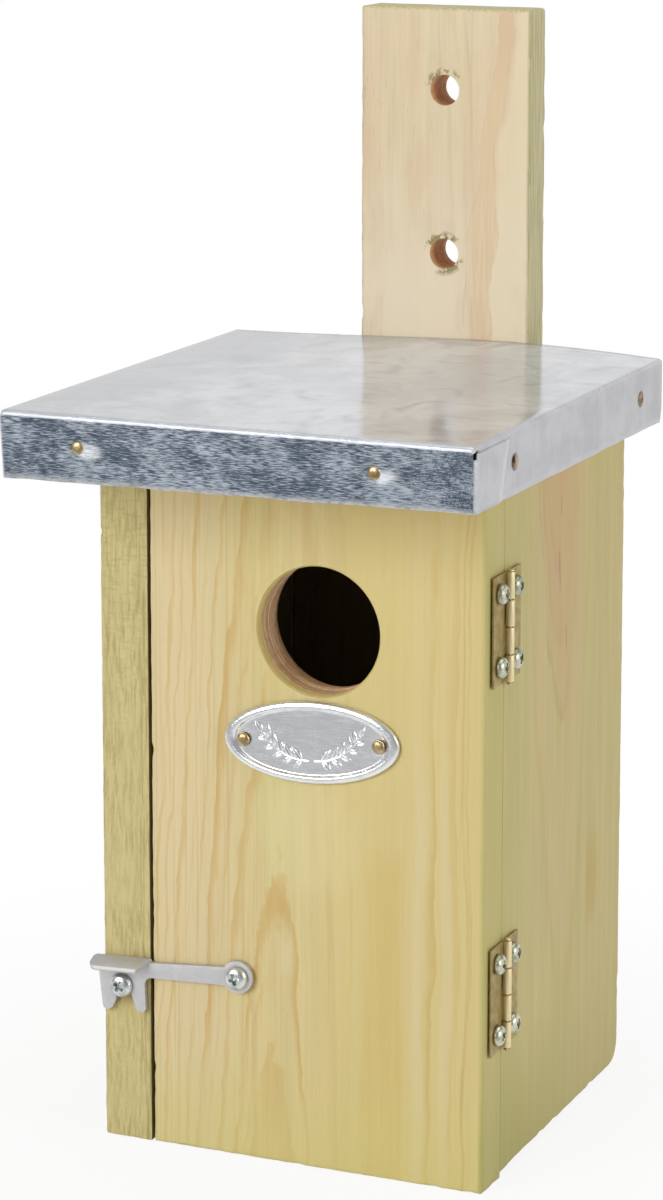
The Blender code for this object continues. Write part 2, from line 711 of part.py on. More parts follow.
def hinges(front, right):
    """Two butt hinges, each with a leaf on the door's edge and a leaf on the side board."""
    for where, level in HINGE_LEVELS.items():
        door_leaf = hinge_leaf(f"{where}_hinge_door_leaf", level, -1, 0, DOOR_PIVOT)
        side_leaf = hinge_leaf(f"{where}_hinge_side_leaf", level, 1, 1, None)
        hinge_pin(f"{where}_hinge_pin", level)
        seat_x = PIN_X + LEAF_FACE + SEAT_GAP
        leaves = (("door", -1, door_leaf, front, DOOR_PIVOT), ("side", 1, side_leaf, right, None))
        for kind, sign, leaf, carrier, parent in leaves:
            for place, up in (("top", 1), ("bottom", -1)):
                y = PIN_Y + sign * HINGE_SCREW_OUT
                seat = Vector((seat_x, y, level + up * HINGE_SCREW_PITCH / 2))
                name = f"{where}_hinge_{kind}_{place}_screw"
                turn = math.radians(25 * (up + 2 * sign))
                fasten(name, HINGE_SCREW, seat, RIGHT, [leaf, carrier], SCREW_STEEL, parent, turn)


def latch_outline(notch):
    """The flat of the latch about its pivot: the eye, the arm and the two-pronged hook."""
    half = ARM_HEIGHT / 2
    meet = math.degrees(math.asin(half / EYE_RADIUS))
    eye = arc((0, 0), EYE_RADIUS, meet - 180, 180 - meet, EYE_STEPS)
    left = notch.x - HOOK_BEYOND_NOTCH
    right = left + HOOK_WIDTH
    tip = notch.y - PRONG_DROP
    slot = LATCH_SCREW_RADIUS + RUNNING_GAP
    left_prong = [
        (left, -half),
        *arc((left + PRONG_TAPER + PRONG_ROUND, tip + PRONG_ROUND), PRONG_ROUND, 180, 270, TIP_STEPS),
        (notch.x - NOTCH_MOUTH_LEFT, tip + PRONG_ROUND / 2),
        (notch.x - slot, notch.y - NOTCH_SHOULDER),
    ]
    crown = arc(notch, slot, 180, 0, 2 * ARC_STEPS)
    right_prong = [
        (notch.x + NOTCH_MOUTH_RIGHT, tip + PRONG_ROUND / 2),
        *arc((right - PRONG_ROUND, tip + PRONG_ROUND), PRONG_ROUND, 270, 360, TIP_STEPS),
    ]
    crook = arc((right + CROOK_RADIUS, -half - CROOK_RADIUS), CROOK_RADIUS, 180, 90, ARC_STEPS)
    bend_end = right + FINGER_BEYOND_PRONG
    return [(bend_end, half), (left, half), *left_prong, *crown, *right_prong, *crook, *eye]


def finger_outline(left, right):
    """The free edge of the finger tab, as places along the hook and distances forward of its bend."""
    outer = left - FINGER_BEYOND_HOOK
    corner = arc((outer + FINGER_CORNER, FINGER_DEPTH - FINGER_CORNER), FINGER_CORNER, 180, 90, ARC_STEPS)
    return [(outer, FINGER_BEYOND_HOOK), *corner, (right - FINGER_CORNER, FINGER_DEPTH)]


def latch_mesh(notch):
    """The middle surface of the latch: its flat, and the finger tab bent forward from its top."""
    bm = bmesh.new()
    flat = [bm.verts.new((x, -LATCH_MIDDLE, z)) for x, z in latch_outline(notch)]
    bm.faces.new(flat)
    right, left = flat[0], flat[1]
    drop = math.sin(FINGER_SLOPE)
    reach = math.cos(FINGER_SLOPE)
    free = [
        bm.verts.new((x, left.co.y - forward * reach, left.co.z - forward * drop))
        for x, forward in finger_outline(left.co.x, right.co.x)
    ]
    bm.faces.new([right, *reversed(free), left])
    bmesh.ops.recalc_face_normals(bm, faces=bm.faces)
    return mesh_from("latch", bm)


def latch(front, left_board):
    """The swinging latch, its pivot screw in the door and its catch screw in the left side board."""
    to_catch = Vector((CATCH.x - PIVOT.x, CATCH.z - PIVOT.z))
    notch = Matrix.Rotation(-LATCH_DROOP, 2) @ to_catch
    piece = add("latch", latch_mesh(notch), PIVOT, LATCH_STEEL, LATCH_PIVOT, (0, -LATCH_DROOP, 0))
    bend = piece.modifiers.new("bend", "BEVEL")
    bend.width = LATCH_THICKNESS
    bend.segments = 3
    bend.limit_method = "ANGLE"
    plate = piece.modifiers.new("thickness", "SOLIDIFY")
    plate.thickness = LATCH_THICKNESS
    plate.offset = 0
    plate.use_even_offset = True
    for name, place, pieces, parent in (
        ("latch_pivot_screw", PIVOT, [piece, front], DOOR_PIVOT),
        ("latch_catch_screw", CATCH, [left_board], None),
    ):
        seat = Vector((place.x, LATCH_FACE - SEAT_GAP, place.z))
        fasten(name, LATCH_SCREW, seat, FORWARD, pieces, SCREW_STEEL, parent, math.radians(12))


LEFT_BOARD, RIGHT_BOARD, BACK_WALL = case()
batten(BACK_WALL)
roof(LEFT_BOARD, RIGHT_BOARD, BACK_WALL)
FRONT_DOOR = door()
oval_plate(FRONT_DOOR)
hinges(FRONT_DOOR, RIGHT_BOARD)
latch(FRONT_DOOR, LEFT_BOARD)
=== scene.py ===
"""A wren birdhouse: a pine case with a hinged front, under a folded metal roof, on a mounting batten."""

import math

import bmesh
import bpy
from mathutils import Matrix, Vector, noise


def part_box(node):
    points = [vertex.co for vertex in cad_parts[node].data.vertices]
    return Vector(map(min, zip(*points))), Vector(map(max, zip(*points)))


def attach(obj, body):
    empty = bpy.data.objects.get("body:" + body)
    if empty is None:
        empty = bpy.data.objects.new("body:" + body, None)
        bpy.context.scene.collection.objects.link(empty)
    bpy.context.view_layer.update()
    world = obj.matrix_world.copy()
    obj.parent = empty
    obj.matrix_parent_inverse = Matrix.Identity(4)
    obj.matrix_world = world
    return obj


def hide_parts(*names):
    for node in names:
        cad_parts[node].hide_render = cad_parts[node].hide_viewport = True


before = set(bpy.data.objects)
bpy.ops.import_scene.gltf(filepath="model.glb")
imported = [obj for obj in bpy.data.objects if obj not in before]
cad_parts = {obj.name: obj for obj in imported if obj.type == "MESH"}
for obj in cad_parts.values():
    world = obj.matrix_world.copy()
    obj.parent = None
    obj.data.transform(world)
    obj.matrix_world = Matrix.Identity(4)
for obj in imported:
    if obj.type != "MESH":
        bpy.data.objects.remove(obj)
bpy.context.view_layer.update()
scene = bpy.context.scene


# The view and the studio
# The box stands on a plain pale floor, seen from the left of its front and a little from above, under
# one broad soft lamp at the front and two weaker ones at the right and overhead.

CAMERA_PLACE = (0.3598, -0.83855, 0.3494)
CAMERA_RIGHT = Vector((0.9167, 0.3997, 0)).normalized()
CAMERA_WAY = Vector((-0.3941, 0.904, -0.1659)).normalized()
CAMERA_LENS = 111.625
CAMERA_SHIFT = -0.2
AMBIENT = 0.26
LAMPS = (
    ("front lamp", (-0.75, -1.55, 0.75), 1.1, 19),
    ("right lamp", (1.7, -0.35, 0.7), 1.0, 10.5),
    ("overhead lamp", (0.1, 0.25, 1.8), 1.2, 9),
)
LAMP_AIM = Vector((0, 0, 0.12))
WHITE = (1, 1, 1)
FLOOR_REACH = 4.0
FLOOR_LEVEL = -0.0001


def settings(thing, **values):
    """A thing with its settings made."""
    for name, value in values.items():
        setattr(thing, name, value)
    return thing


def placed(name, data, place=Matrix()):
    """A new object of the scene."""
    made = settings(bpy.data.objects.new(name, data), matrix_world=place)
    scene.collection.objects.link(made)
    return made


def fill(node, sockets):
    """Gives a node's sockets readings or plain values, with a colour as its red, green and blue."""
    for name, value in dict(sockets).items():
        socket = node.inputs[name]
        if isinstance(value, Reading):
            node.id_data.links.new(value.socket, socket)
        else:
            socket.default_value = (*value, 1) if socket.type == "RGBA" else value


def add_node(tree, kind, sockets=(), **values):
    """A new node with its settings and its sockets filled."""
    made = settings(tree.nodes.new(kind if "Node" in kind else "ShaderNode" + kind), **values)
    fill(made, sockets)
    return made


class Reading:
    """What a node puts out: a number, a place or a colour that changes over a surface."""

    def __init__(self, node, output=0):
        self.socket = node.outputs[output]

    def to(self, kind, sockets, output=0, **values):
        """What another node of the same tree makes of it."""
        return read(self.socket.id_data, kind, sockets, output, **values)

    def sum(self, operation, *others):
        """The result of a Math node, or of a Vector Math node for a place or a colour."""
        if self.socket.type == "VALUE":
            return self.to("Math", enumerate((self, *others)), operation=operation)
        others = [(other,) * 3 if isinstance(other, (int, float)) else other for other in others]
        return self.to("VectorMath", enumerate((self, *others)), operation=operation)

    def __add__(self, other):
        return self.sum("ADD", other)

    def __sub__(self, other):
        return self.sum("SUBTRACT", other)

    def __mul__(self, other):
        return self.sum("MULTIPLY", other)

    def __truediv__(self, other):
        return self.sum("DIVIDE", other)

    def __rsub__(self, other):
        return self * -1 + other

    def __abs__(self):
        return self.sum("ABSOLUTE")

    def most(self, other):
        return self.sum("MAXIMUM", other)

    def least(self, other):
        return self.sum("MINIMUM", other)

    def parts(self):
        """The three parts of a place."""
        split = add_node(self.socket.id_data, "SeparateXYZ", {0: self})
        return [Reading(split, part) for part in range(3)]

    def length(self):
        """How long a vector is."""
        return self.to("VectorMath", {0: self}, "Value", operation="LENGTH")

    def hypot(self, other):
        """How far a point lies from a line, from its distances along two sides."""
        return (self * self + other * other).sum("SQRT")

    def eased(self, low, high, start=0, end=1):
        """Turned smoothly from one range into another."""
        ranges = {"Value": self, "From Min": low, "From Max": high, "To Min": start, "To Max": end}
        return self.to("MapRange", ranges, interpolation_type="SMOOTHSTEP")

    def band(self, start, inner, outer, end):
        """1 between two values, fading to 0 before and past them."""
        return self.eased(start, inner) * self.eased(outer, end, 1, 0)

    def cloud(self, stretch, detail, roughness=0.5, distortion=0, turn=(0, 0, 0), output="Fac"):
        """A noise, stretched and turned."""
        spread = self.to("Mapping", {0: self, "Rotation": turn, "Scale": stretch})
        values = {"Vector": spread, "Scale": 1, "Detail": detail, "Roughness": roughness}
        return self.to("TexNoise", {**values, "Distortion": distortion}, output)

    def haze(self, stretch, low, high, start, end, detail=3):
        """A soft noise turned into a range."""
        return self.cloud(stretch, detail, 0.55).eased(low, high, start, end)


def read(tree, kind, sockets=(), output=0, **values):
    """What a new node puts out."""
    return Reading(add_node(tree, kind, sockets, **values), output)


def emptied(owner):
    """The cleared node tree of a world or a material."""
    owner.use_nodes = True
    owner.node_tree.nodes.clear()
    return owner.node_tree


camera_data = bpy.data.cameras.new("camera")
settings(camera_data, sensor_width=36, lens=CAMERA_LENS, shift_y=CAMERA_SHIFT, clip_start=0.01)
turned_to = Matrix((CAMERA_RIGHT, CAMERA_RIGHT.cross(CAMERA_WAY), -CAMERA_WAY)).transposed().to_4x4()
camera = placed("camera", camera_data, Matrix.Translation(CAMERA_PLACE) @ turned_to)
scene.camera = camera
scene.view_settings.view_transform = "Standard"

for name, place, size, power in LAMPS:
    lamp = settings(bpy.data.lights.new(name, "AREA"), size=size, energy=power)
    facing = (LAMP_AIM - Vector(place)).to_track_quat("-Z", "Y").to_matrix().to_4x4()
    placed(name, lamp, Matrix.Translation(place) @ facing)

world = bpy.data.worlds.new("studio")
scene.world = world
tree = emptied(world)
path = add_node(tree, "LightPath")
glossy = Reading(path, "Is Glossy Ray")
seen = Reading(path, "Is Camera Ray").most(Reading(path, "Is Transmission Ray"))
_, y, z = read(tree, "TexCoord", output="Generated").parts()
behind = y.eased(-0.35, 0.3) * z.eased(0.3, 0.55, 1, 0)
room = (behind.most(z.eased(0.72, 0.9)) + 0.3).least(1)
ambient, mirrored, backdrop = (
    read(tree, "Background", {"Color": WHITE, "Strength": strength}) for strength in (AMBIENT, room, 1))
either = read(tree, "MixShader", {0: glossy, 1: ambient, 2: mirrored})
either = read(tree, "MixShader", {0: seen, 1: either, 2: backdrop})
add_node(tree, "OutputWorld", {"Surface": either})

paper = bpy.data.materials.new("pale paper floor")
tree = emptied(paper)
place = read(tree, "NewGeometry", output="Position")
path = add_node(tree, "LightPath")
glossy = Reading(path, "Is Glossy Ray")
seen = Reading(path, "Is Camera Ray").most(Reading(path, "Is Transmission Ray")).most(glossy)
matt = read(tree, "BsdfDiffuse", {"Color": (0.9, 0.9, 0.9)})
dim = place.parts()[1].eased(-0.5, 0, 0.65, 0) * glossy
bright = read(tree, "Emission", {"Color": WHITE, "Strength": 1 - dim})
fading = place.length().eased(0.06, 0.24, 0.88, 1) * seen
either = read(tree, "MixShader", {0: fading, 1: matt, 2: bright})
add_node(tree, "OutputMaterial", {"Surface": either})

floor_mesh = bpy.data.meshes.new("floor")
corners = [(FLOOR_REACH * x, FLOOR_REACH * y, FLOOR_LEVEL) for x, y in ((-1, -1), (1, -1), (1, 1), (-1, 1))]
floor_mesh.from_pydata(corners, [], [(0, 1, 2, 3)])
floor_mesh.materials.append(paper)
placed("studio_floor", floor_mesh)


# Side boards
# Two planed pine boards, 13 mm thick and pressure treated, which stand on either side of the back
# wall. Their front edges are left as the saw cut them, and their heels at the back are rounded.

SIDE_HEEL = 0.006
SEAM_WASTE = 0.0001
NET_ENDS = (0, 0.0002, 0.0005, 0.0009)
NET_MARGIN = 0.0015
CRISP_EDGE = 0.00012
CHIP_DEPTH = 0.0024
FOOT_REACH = 0.003
FACE_WAVE = 0.00003
EDGE_REACH = 1.2
TREATED = {
    "Pale Wood": (0.67, 0.555, 0.275), "Late Wood": (0.56, 0.37, 0.115), "Heart Wood": (0.66, 0.50, 0.26),
    "Green Stain": (0.61, 0.545, 0.21), "Warm Tint": (0.70, 0.53, 0.25),
    "Stain Share": 0.4, "Heart Radius": 10,
}
GREEN_FOOT = (0.40, 0.375, 0.115)


def span(node):
    """The lowest and the highest corner of a solid, in millimetres."""
    low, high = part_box(node)
    return low * 1000, high * 1000


NEST_SIDE = span("right_side_board")[0].x
NEST_FRONT = span("front_door")[1].y
NEST_BACK = span("back_wall")[0].y
NEST_FLOOR = 13


def spaced(start, end, pitch):
    """Places from a start to an end, about a pitch apart."""
    count = max(1, round(abs(end - start) / pitch))
    return [start + (end - start) * step / count for step in range(count + 1)]


def skinned(bm, rows, ring=False):
    """Lays faces between rows of points that follow each other. A ring's last point meets its first."""
    for one, two in zip(rows, rows[1:]):
        for i in range(len(one) - (not ring)):
            after = (i + 1) % len(one)
            bm.faces.new(tuple(dict.fromkeys((one[i], two[i], two[after], one[after]))))


def board_net(low, high, pitches):
    """A closed box whose faces are nets of small faces, which are closer together near its edges."""
    cuts = []
    for a, b, pitch in zip(low, high, pitches):
        inner = spaced(a + NET_MARGIN, b - NET_MARGIN, pitch)
        cuts.append([*(a + end for end in NET_ENDS), *inner, *(b - end for end in reversed(NET_ENDS))])
    bm = bmesh.new()
    known = {}
    for axis in range(3):
        one, two = (axis + 1) % 3, (axis + 2) % 3
        for level in (cuts[axis][0], cuts[axis][-1]):
            net = []
            for across in cuts[one]:
                row = []
                for along in cuts[two]:
                    spot = dict(((axis, level), (one, across), (two, along)))
                    key = (spot[0], spot[1], spot[2])
                    if key not in known:
                        known[key] = bm.verts.new(key)
                    row.append(known[key])
                net.append(row)
            skinned(bm, net if level == cuts[axis][-1] else net[::-1])
    return bm


def worn_board(low, high, pitches, ease=0.0006, saw=None, crisp=None, chips=0.32, nicks=0):
    """A board whose edges are unevenly rounded and chipped, and whose faces wave a little. saw gives
    how deep the saw's marks are at a place, and crisp says where the edges have stayed sharp. Lower
    chips are more of them, and nicks adds some at the foot."""
    bm = board_net(low, high, pitches)
    for vert in bm.verts:
        spot = vert.co.copy()
        soft = ease * (1 + 0.55 * noise.noise(spot * 160) + 0.35 * noise.noise(spot * 520))
        foot = max(0, 1 - (spot.z - low.z) / FOOT_REACH)
        chip = max(0, noise.noise(spot * 330 + Vector((7, 3, 1))) - chips + nicks * foot)
        soft = max(0.0001, soft + CHIP_DEPTH * chip)
        if crisp and crisp(spot):
            soft = CRISP_EDGE
        core = Vector([min(max(spot[a], low[a] + soft), high[a] - soft) for a in range(3)])
        out = spot - core
        facing = out.normalized()
        dip = FACE_WAVE * (1 + noise.noise(Vector((spot.x * 55, spot.y * 55, spot.z * 14))))
        if saw:
            dip += saw(spot, facing)
        vert.co = core + facing * (min(out.length, soft) - dip)
    return bm


def heeled(bm, back, bottom):
    """Rounds the lower back corner of a side board."""
    core_y, core_z = back - SIDE_HEEL, bottom + SIDE_HEEL
    for vert in bm.verts:
        a, b = vert.co.y - core_y, core_z - vert.co.z
        if a > 0 and b > 0:
            scale = max(a, b) / math.hypot(a, b)
            vert.co.y = core_y + a * scale
            vert.co.z = core_z - b * scale


def smoothed(mesh, angle):
    """Shades a mesh smoothly, except across edges sharper than an angle."""
    mesh.shade_smooth()
    mesh.set_sharp_from_angle(angle=math.radians(angle))


def solid(name, bm, material, angle=35):
    """An object from a bmesh."""
    mesh = bpy.data.meshes.new(name)
    bm.to_mesh(mesh)
    bm.free()
    smoothed(mesh, angle)
    if material:
        mesh.materials.append(material)
    return placed(name, mesh)


def fitted(piece, body, slot, *nodes):
    """Lets a piece ride on its body in place of its solids. Its slot is not used."""
    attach(piece, body)
    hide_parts(*nodes)


def millimetres(tree):
    """Where a point of a piece lies, in millimetres."""
    return read(tree, "TexCoord", output="Object") * 1000


def node_group(name, kind, inputs, outputs):
    """A node group with named sockets of each type, and a way to read what it is given."""
    tree = bpy.data.node_groups.new(name, kind)
    for in_out, sockets in (("INPUT", inputs), ("OUTPUT", outputs)):
        for socket_type, labels in sockets.items():
            for label in labels:
                tree.interface.new_socket(label, in_out=in_out, socket_type="NodeSocket" + socket_type)
    source = tree.nodes.new("NodeGroupInput")
    return tree, lambda label: Reading(source, label)


def mixed(share, first, second):
    """One colour turned into another by a share."""
    return share.to("Mix", {0: share, 6: first, 7: second}, 2, data_type="RGBA")


def stained(colour, *stains):
    """A colour with others laid over it in turn, each by its own share."""
    for share, tone in stains:
        colour = mixed(share, colour, tone)
    return colour


def grain_group():
    """Pine as it grows, in millimetres along the log: rings round a pith that leans and wanders, with
    their late wood, fibres, resin ducts, stains and heartwood."""
    tree, given = node_group("pine grain", "ShaderNodeTree", {
        "Vector": ("Pith", "Lean", "Shift"),
        "Float": ("Ring Width", "Wander", "Late Strength", "Heart Radius", "Stain Share"),
        "Color": ("Pale Wood", "Late Wood", "Heart Wood", "Green Stain", "Warm Tint"),
    }, {"Color": ("Color",), "Float": ("Late", "Relief")})
    at = millimetres(tree)
    log = at + given("Shift")
    bend = (log.cloud((0.035, 0.035, 0.012), 1, output="Color") - 0.5) * given("Wander")
    ripple = (log.cloud((0.16, 0.16, 0.05), 4, output="Color") - 0.5) * 1.7
    local = at - given("Pith") - given("Lean") * at.parts()[2] + bend + ripple
    radius = (local * (1, 1, 0)).length()
    uneven = radius.to("TexNoise", {"W": radius * 0.3, "Scale": 1, "Detail": 1}, noise_dimensions="1D")
    ring = radius / given("Ring Width") + uneven.eased(0.3, 0.7, -0.55, 0.55)
    year = ring.to("TexWhiteNoise", {"W": ring.sum("FLOOR")}, noise_dimensions="1D")
    grown = ring.sum("FRACT")
    late = grown.eased(year.eased(0, 1, 0.25, 0.62), 0.93) * grown.eased(0.94, 1, 1, 0)
    late = late * year.eased(0, 0.9, 1, 0.15)
    fibre = log.cloud((1.7, 1.7, 0.03), 3, 0.65)
    streak = log.cloud((0.3, 0.3, 0.014), 2)
    blotch = log.cloud((0.045, 0.045, 0.02), 2)
    tint = log.cloud((0.06, 0.06, 0.011), 3)
    duct = log.cloud((2.4, 2.4, 0.16), 1).eased(0.68, 0.76)
    heart = (given("Heart Radius") - radius).eased(-1.5, 1.5) * blotch.eased(0.3, 0.62, 0.35, 1)
    stain = given("Stain Share")
    strong = late * given("Late Strength") * streak.eased(0.3, 0.7, 0.35, 1.25)
    colour = stained(
        mixed(heart, given("Pale Wood"), given("Heart Wood")),
        (tint.eased(0.47, 0.62) * stain, given("Green Stain")),
        (tint.eased(0.5, 0.37) * stain * 0.8, given("Warm Tint")),
        (strong, given("Late Wood")))
    tone = fibre.eased(0.25, 0.75, -0.035, 0.035) + streak.eased(0.3, 0.7, 0.03, -0.03) + 1
    colour = mixed(duct * 0.22, colour * tone, (0.42, 0.30, 0.12))
    relief = fibre * 0.7 + late * 0.35 - duct * 0.25
    add_node(tree, "NodeGroupOutput", {"Color": colour, "Late": late, "Relief": relief})
    return tree


def edge_group():
    """How near a place is to a board's edges, from the board's two corners."""
    tree, given = node_group(
        "board edges", "ShaderNodeTree", {"Vector": ("Low", "High")}, {"Float": ("Edge",)})
    at = millimetres(tree)
    a, b, c = (at - given("Low")).least(given("High") - at).parts()
    second = a.least(b).most(a.most(b).least(c))
    rough = at.cloud((0.7, 0.7, 0.7), 3).eased(0.3, 0.7, -0.35, 0.35)
    add_node(tree, "NodeGroupOutput", {"Edge": (second + rough).eased(0, EDGE_REACH, 1, 0)})
    return tree


GRAIN = grain_group()
EDGES = edge_group()


def surface(name):
    """A new material, and where a point with it lies."""
    material = settings(bpy.data.materials.new(name), use_nodes=True)
    return material, millimetres(material.node_tree)


def finished(material, colour, gloss, height, distance, more=()):
    """Gives a material's shader its colour, its gloss and the relief of a height."""
    relief = height.to("Bump", {"Height": height, "Distance": distance, "Strength": 1})
    sockets = {"Base Color": colour, "Roughness": gloss, "Normal": relief, **dict(more)}
    fill(material.node_tree.nodes["Principled BSDF"], sockets)
    return material


def painted_nest_shade(at):
    """How far a place belongs to the box's inner faces, which stay as they were sawn and are given painted
    shade that stands in for the dark inside of the box.
    """
    x, y, z = at.parts()
    beside = abs(x).eased(NEST_SIDE + 0.2, NEST_SIDE + 0.6, 1, 0)
    behind = y.eased(NEST_FRONT - 0.6, NEST_FRONT - 0.2) * y.eased(NEST_BACK, NEST_BACK + 0.6, 1, 0)
    return beside * behind * z.eased(NEST_FLOOR - 0.5, NEST_FLOOR + 0.5)


def pine(node, grain, edge=(0.36, 0.30, 0.13), marks=None, past=(0, 0), dark=0.7):
    """A board's pine. grain says how its log has grown, marks lays on what only this board has, past says how
    far its front and back edges lie from the rounded and chipped ones, and dark how much painted shade its
    nest side gets."""
    material, at = surface(node.replace("_", " ") + " pine")
    low, high = span(node)
    low.y -= past[0]
    high.y += past[1]
    log = add_node(material.node_tree, "Group", grain, node_tree=GRAIN)
    edges = read(material.node_tree, "Group", {"Low": low, "High": high}, node_tree=EDGES)
    colour, late, height = (Reading(log, output) for output in ("Color", "Late", "Relief"))
    # The nest side gets painted shade: its inner faces are darkened towards (0.10, 0.075, 0.03) to stand in
    # for the dark inside of the box.
    colour = stained(colour, (edges * 0.38, edge), (painted_nest_shade(at) * dark, (0.10, 0.075, 0.03)))
    if marks:
        colour, height = marks(at, colour, height, late)
    gloss = late.eased(0, 1, 0.62, 0.5)
    return finished(material, colour, gloss, height, 0.00012, {"Specular IOR Level": 0.3})


def sawn_front(at, colour, height, late):
    """The left board's front edge as the saw left it: greener, with slanting torn fibres, splits and ripples,
    a painted shadow under the catch screw and painted shade in the gap at the door."""
    x, y, z = at.parts()
    low, high = span("left_side_board")
    catch = sum(span("latch_catch_screw"), Vector()) / 2
    front = y.eased(low.y + 1.2, low.y + 0.3)
    torn = at.cloud((1.4, 0.3, 0.16), 4, 0.7, turn=(0, 0.35, 0))
    dark = torn.eased(0.42, 0.66) * at.cloud((0.06, 0.06, 0.06), 3).eased(0.3, 0.65, 0.35, 0.95)
    split = at.cloud((1.5, 0.3, 0.055), 2).eased(0.5, 0.6) * x.eased(high.x - 4.5, high.x - 1, 0.05, 0.5)
    ripple = at.cloud((0.33, 0.3, 1.25), 3, turn=(0, -0.25, 0)).eased(0.5, 0.64) * z.eased(95, 150, 0.1, 0.45)
    # Painted shadow: the wood under the catch screw and its hook is darkened as if shaded.
    painted_catch_shadow = (x - catch.x).hypot(z - (catch.z - 2.2)).eased(2, 5.2, 0.6, 0)
    marked = stained(
        mixed(dark * 0.68, (0.64, 0.545, 0.258), (0.35, 0.285, 0.095)), (late * 0.35, (0.40, 0.31, 0.11)),
        (split, (0.28, 0.225, 0.07)), (ripple, (0.44, 0.37, 0.17)), (painted_catch_shadow, (0.40, 0.275, 0.115)))
    # Painted shade: the board's face at the door gap is darkened nearly to black, standing in for the shade
    # in the gap.
    painted_gap_shade = x.eased(high.x - 0.35, high.x - 0.1) * y.band(low.y + 0.1, low.y + 0.6, low.y + 12, low.y + 14)
    colour = stained(colour, (front, marked), (painted_gap_shade * 0.85, (0.05, 0.036, 0.012)))
    return colour, height - torn * front * 2


def right_marks(at, colour, height, _):
    """The right board's reddish heartwood, which runs down to a point with a paler one under it, its
    resin streaks and amber patch, and its greener front and foot."""
    x, y, z = at.parts()
    swing = at.haze((0.12, 0.12, 0.03), 0.3, 0.7, -1.4, 1.4)
    mottle = at.haze((0.2, 0.2, 0.045), 0.3, 0.65, 0.5, 1)
    aside = y - (z * -0.042 + 18) + swing
    radius = aside.hypot(x - (z * 0.044 + 4.5))
    toward_front = aside.eased(-3, 5, 1, 0)
    heart = radius.eased(40.9, 41.9, 1, 0) * toward_front
    heart = heart + radius.eased(39.6, 44.5, 1, 0) * (1 - toward_front)
    colour = mixed(heart * mottle, colour, (0.63, 0.435, 0.225))
    for place, inner, outer, strength in (
        (41.8, 0.3, 0.12, 0.45), (40.9, 0.3, 0.15, 0.25), (40.1, 0.25, 0.15, 0.2),
    ):
        line = radius.band(place - inner, place, place, place + outer) * toward_front.eased(0, 1, 0.35, 1)
        colour = mixed(line * mottle * strength, colour, (0.50, 0.30, 0.135))
    amber = radius.band(47, 48.2, 50.2, 51.5) * y.eased(18, 26) * z.band(42, 52, 62, 80) * mottle
    colour = stained(
        colour, (radius.band(42.1, 42.7, 44.2, 44.8) * 0.4, (0.65, 0.50, 0.25)),
        (radius.band(44.4, 44.9, 44.9, 45.6) * 0.35, (0.58, 0.43, 0.18)), (amber * 0.75, (0.565, 0.41, 0.15)))
    for across, level, tall in ((11.7, 144.5, 7), (16.6, 126.6, 4), (13, 161, 3.5)):
        resin = abs(swing * 0.5 + y - across).eased(0.1, 0.55, 1, 0)
        resin = resin * abs(z - level).eased(tall / 2, tall, 0.65, 0)
        colour = mixed(resin, colour, (0.43, 0.22, 0.10))
    green = (y + swing).eased(-22, -4, 1, 0) * mottle * 0.6
    foot = z.eased(4, 40, 1, 0) * y.eased(-20, 35, 0.6, 0.15)
    return stained(colour, (green, (0.53, 0.485, 0.185)), (foot, GREEN_FOOT)), height


def sawn_teeth(spot, facing):
    """The depth of the saw's marks on the left board's front edge."""
    if facing.y > -0.5:
        return 0
    slant = Vector((spot.x * 700, 0, spot.z * 330 + spot.x * 160))
    return 0.00011 * (1 + noise.noise(slant)) + 0.00007 * (1 + noise.noise(spot * 1300))


left_pine = pine("left_side_board", {
    **TREATED, "Pith": (-62, -52, 0), "Lean": (0.03, 0.035, 0), "Ring Width": 2.3, "Wander": 5,
    "Shift": (310, 40, 90), "Late Strength": 0.8}, marks=sawn_front)
right_pine = pine("right_side_board", {
    **TREATED, "Pith": (4.5, 14.5, 0), "Lean": (0.044, 0, 0), "Ring Width": 3.4, "Wander": 3,
    "Shift": (20, 610, 15), "Late Strength": 0.18, "Heart Radius": 0, "Stain Share": 0.2,
    "Pale Wood": (0.615, 0.525, 0.245)}, marks=right_marks, past=(5, 0))
for node, pitches, material, saw, nicks in (
    ("left_side_board", (0.0009, 0.004, 0.0012), left_pine, sawn_teeth, 0.08),
    ("right_side_board", (0.003, 0.0025, 0.0025), right_pine, None, 0),
):
    low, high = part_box(node)
    crisp_from = low.x - 0.001
    if saw:
        high.x -= SEAM_WASTE
        crisp_from = high.x - 0.004
    bm = worn_board(low, high, pitches, saw=saw, nicks=nicks,
                    crisp=lambda spot: spot.y < low.y + 0.004 and spot.x > crisp_from)
    heeled(bm, high.y, low.z)
    fitted(solid(f"worn_{node}", bm, material), "case", "treated_pine", node)


# Back wall and floor
# Two boards of the same treated pine between the sides: the back wall is screwed to the floor from
# behind, and both are flat sawn, with their plain faces to the nest.


def coated(node, grain):
    """Gives a plain board its own pine."""
    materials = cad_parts[node].data.materials
    materials.clear()
    materials.append(pine(node, {**TREATED, "Wander": 5, "Late Strength": 0.6, **grain}))


coated("back_wall", {
    "Pith": (6, 84, 0), "Lean": (0.01, 0.06, 0), "Ring Width": 2.8, "Shift": (75, 210, 400)})
coated("floor_board", {
    "Pith": (-9, -60, 0), "Lean": (0.2, 0.9, 0), "Ring Width": 2.6, "Shift": (520, 12, 230)})


# Mounting batten
# A pale planed pine batten, 47 x 12 mm, screwed up the back. Two 8 mm holes are drilled through its
# top for hanging, with torn fibres round them.

BATTEN_HOLES = (0.2579, 0.2149)
BATTEN_HOLE_RADIUS = 0.004
batten_low, batten_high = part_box("mounting_batten")


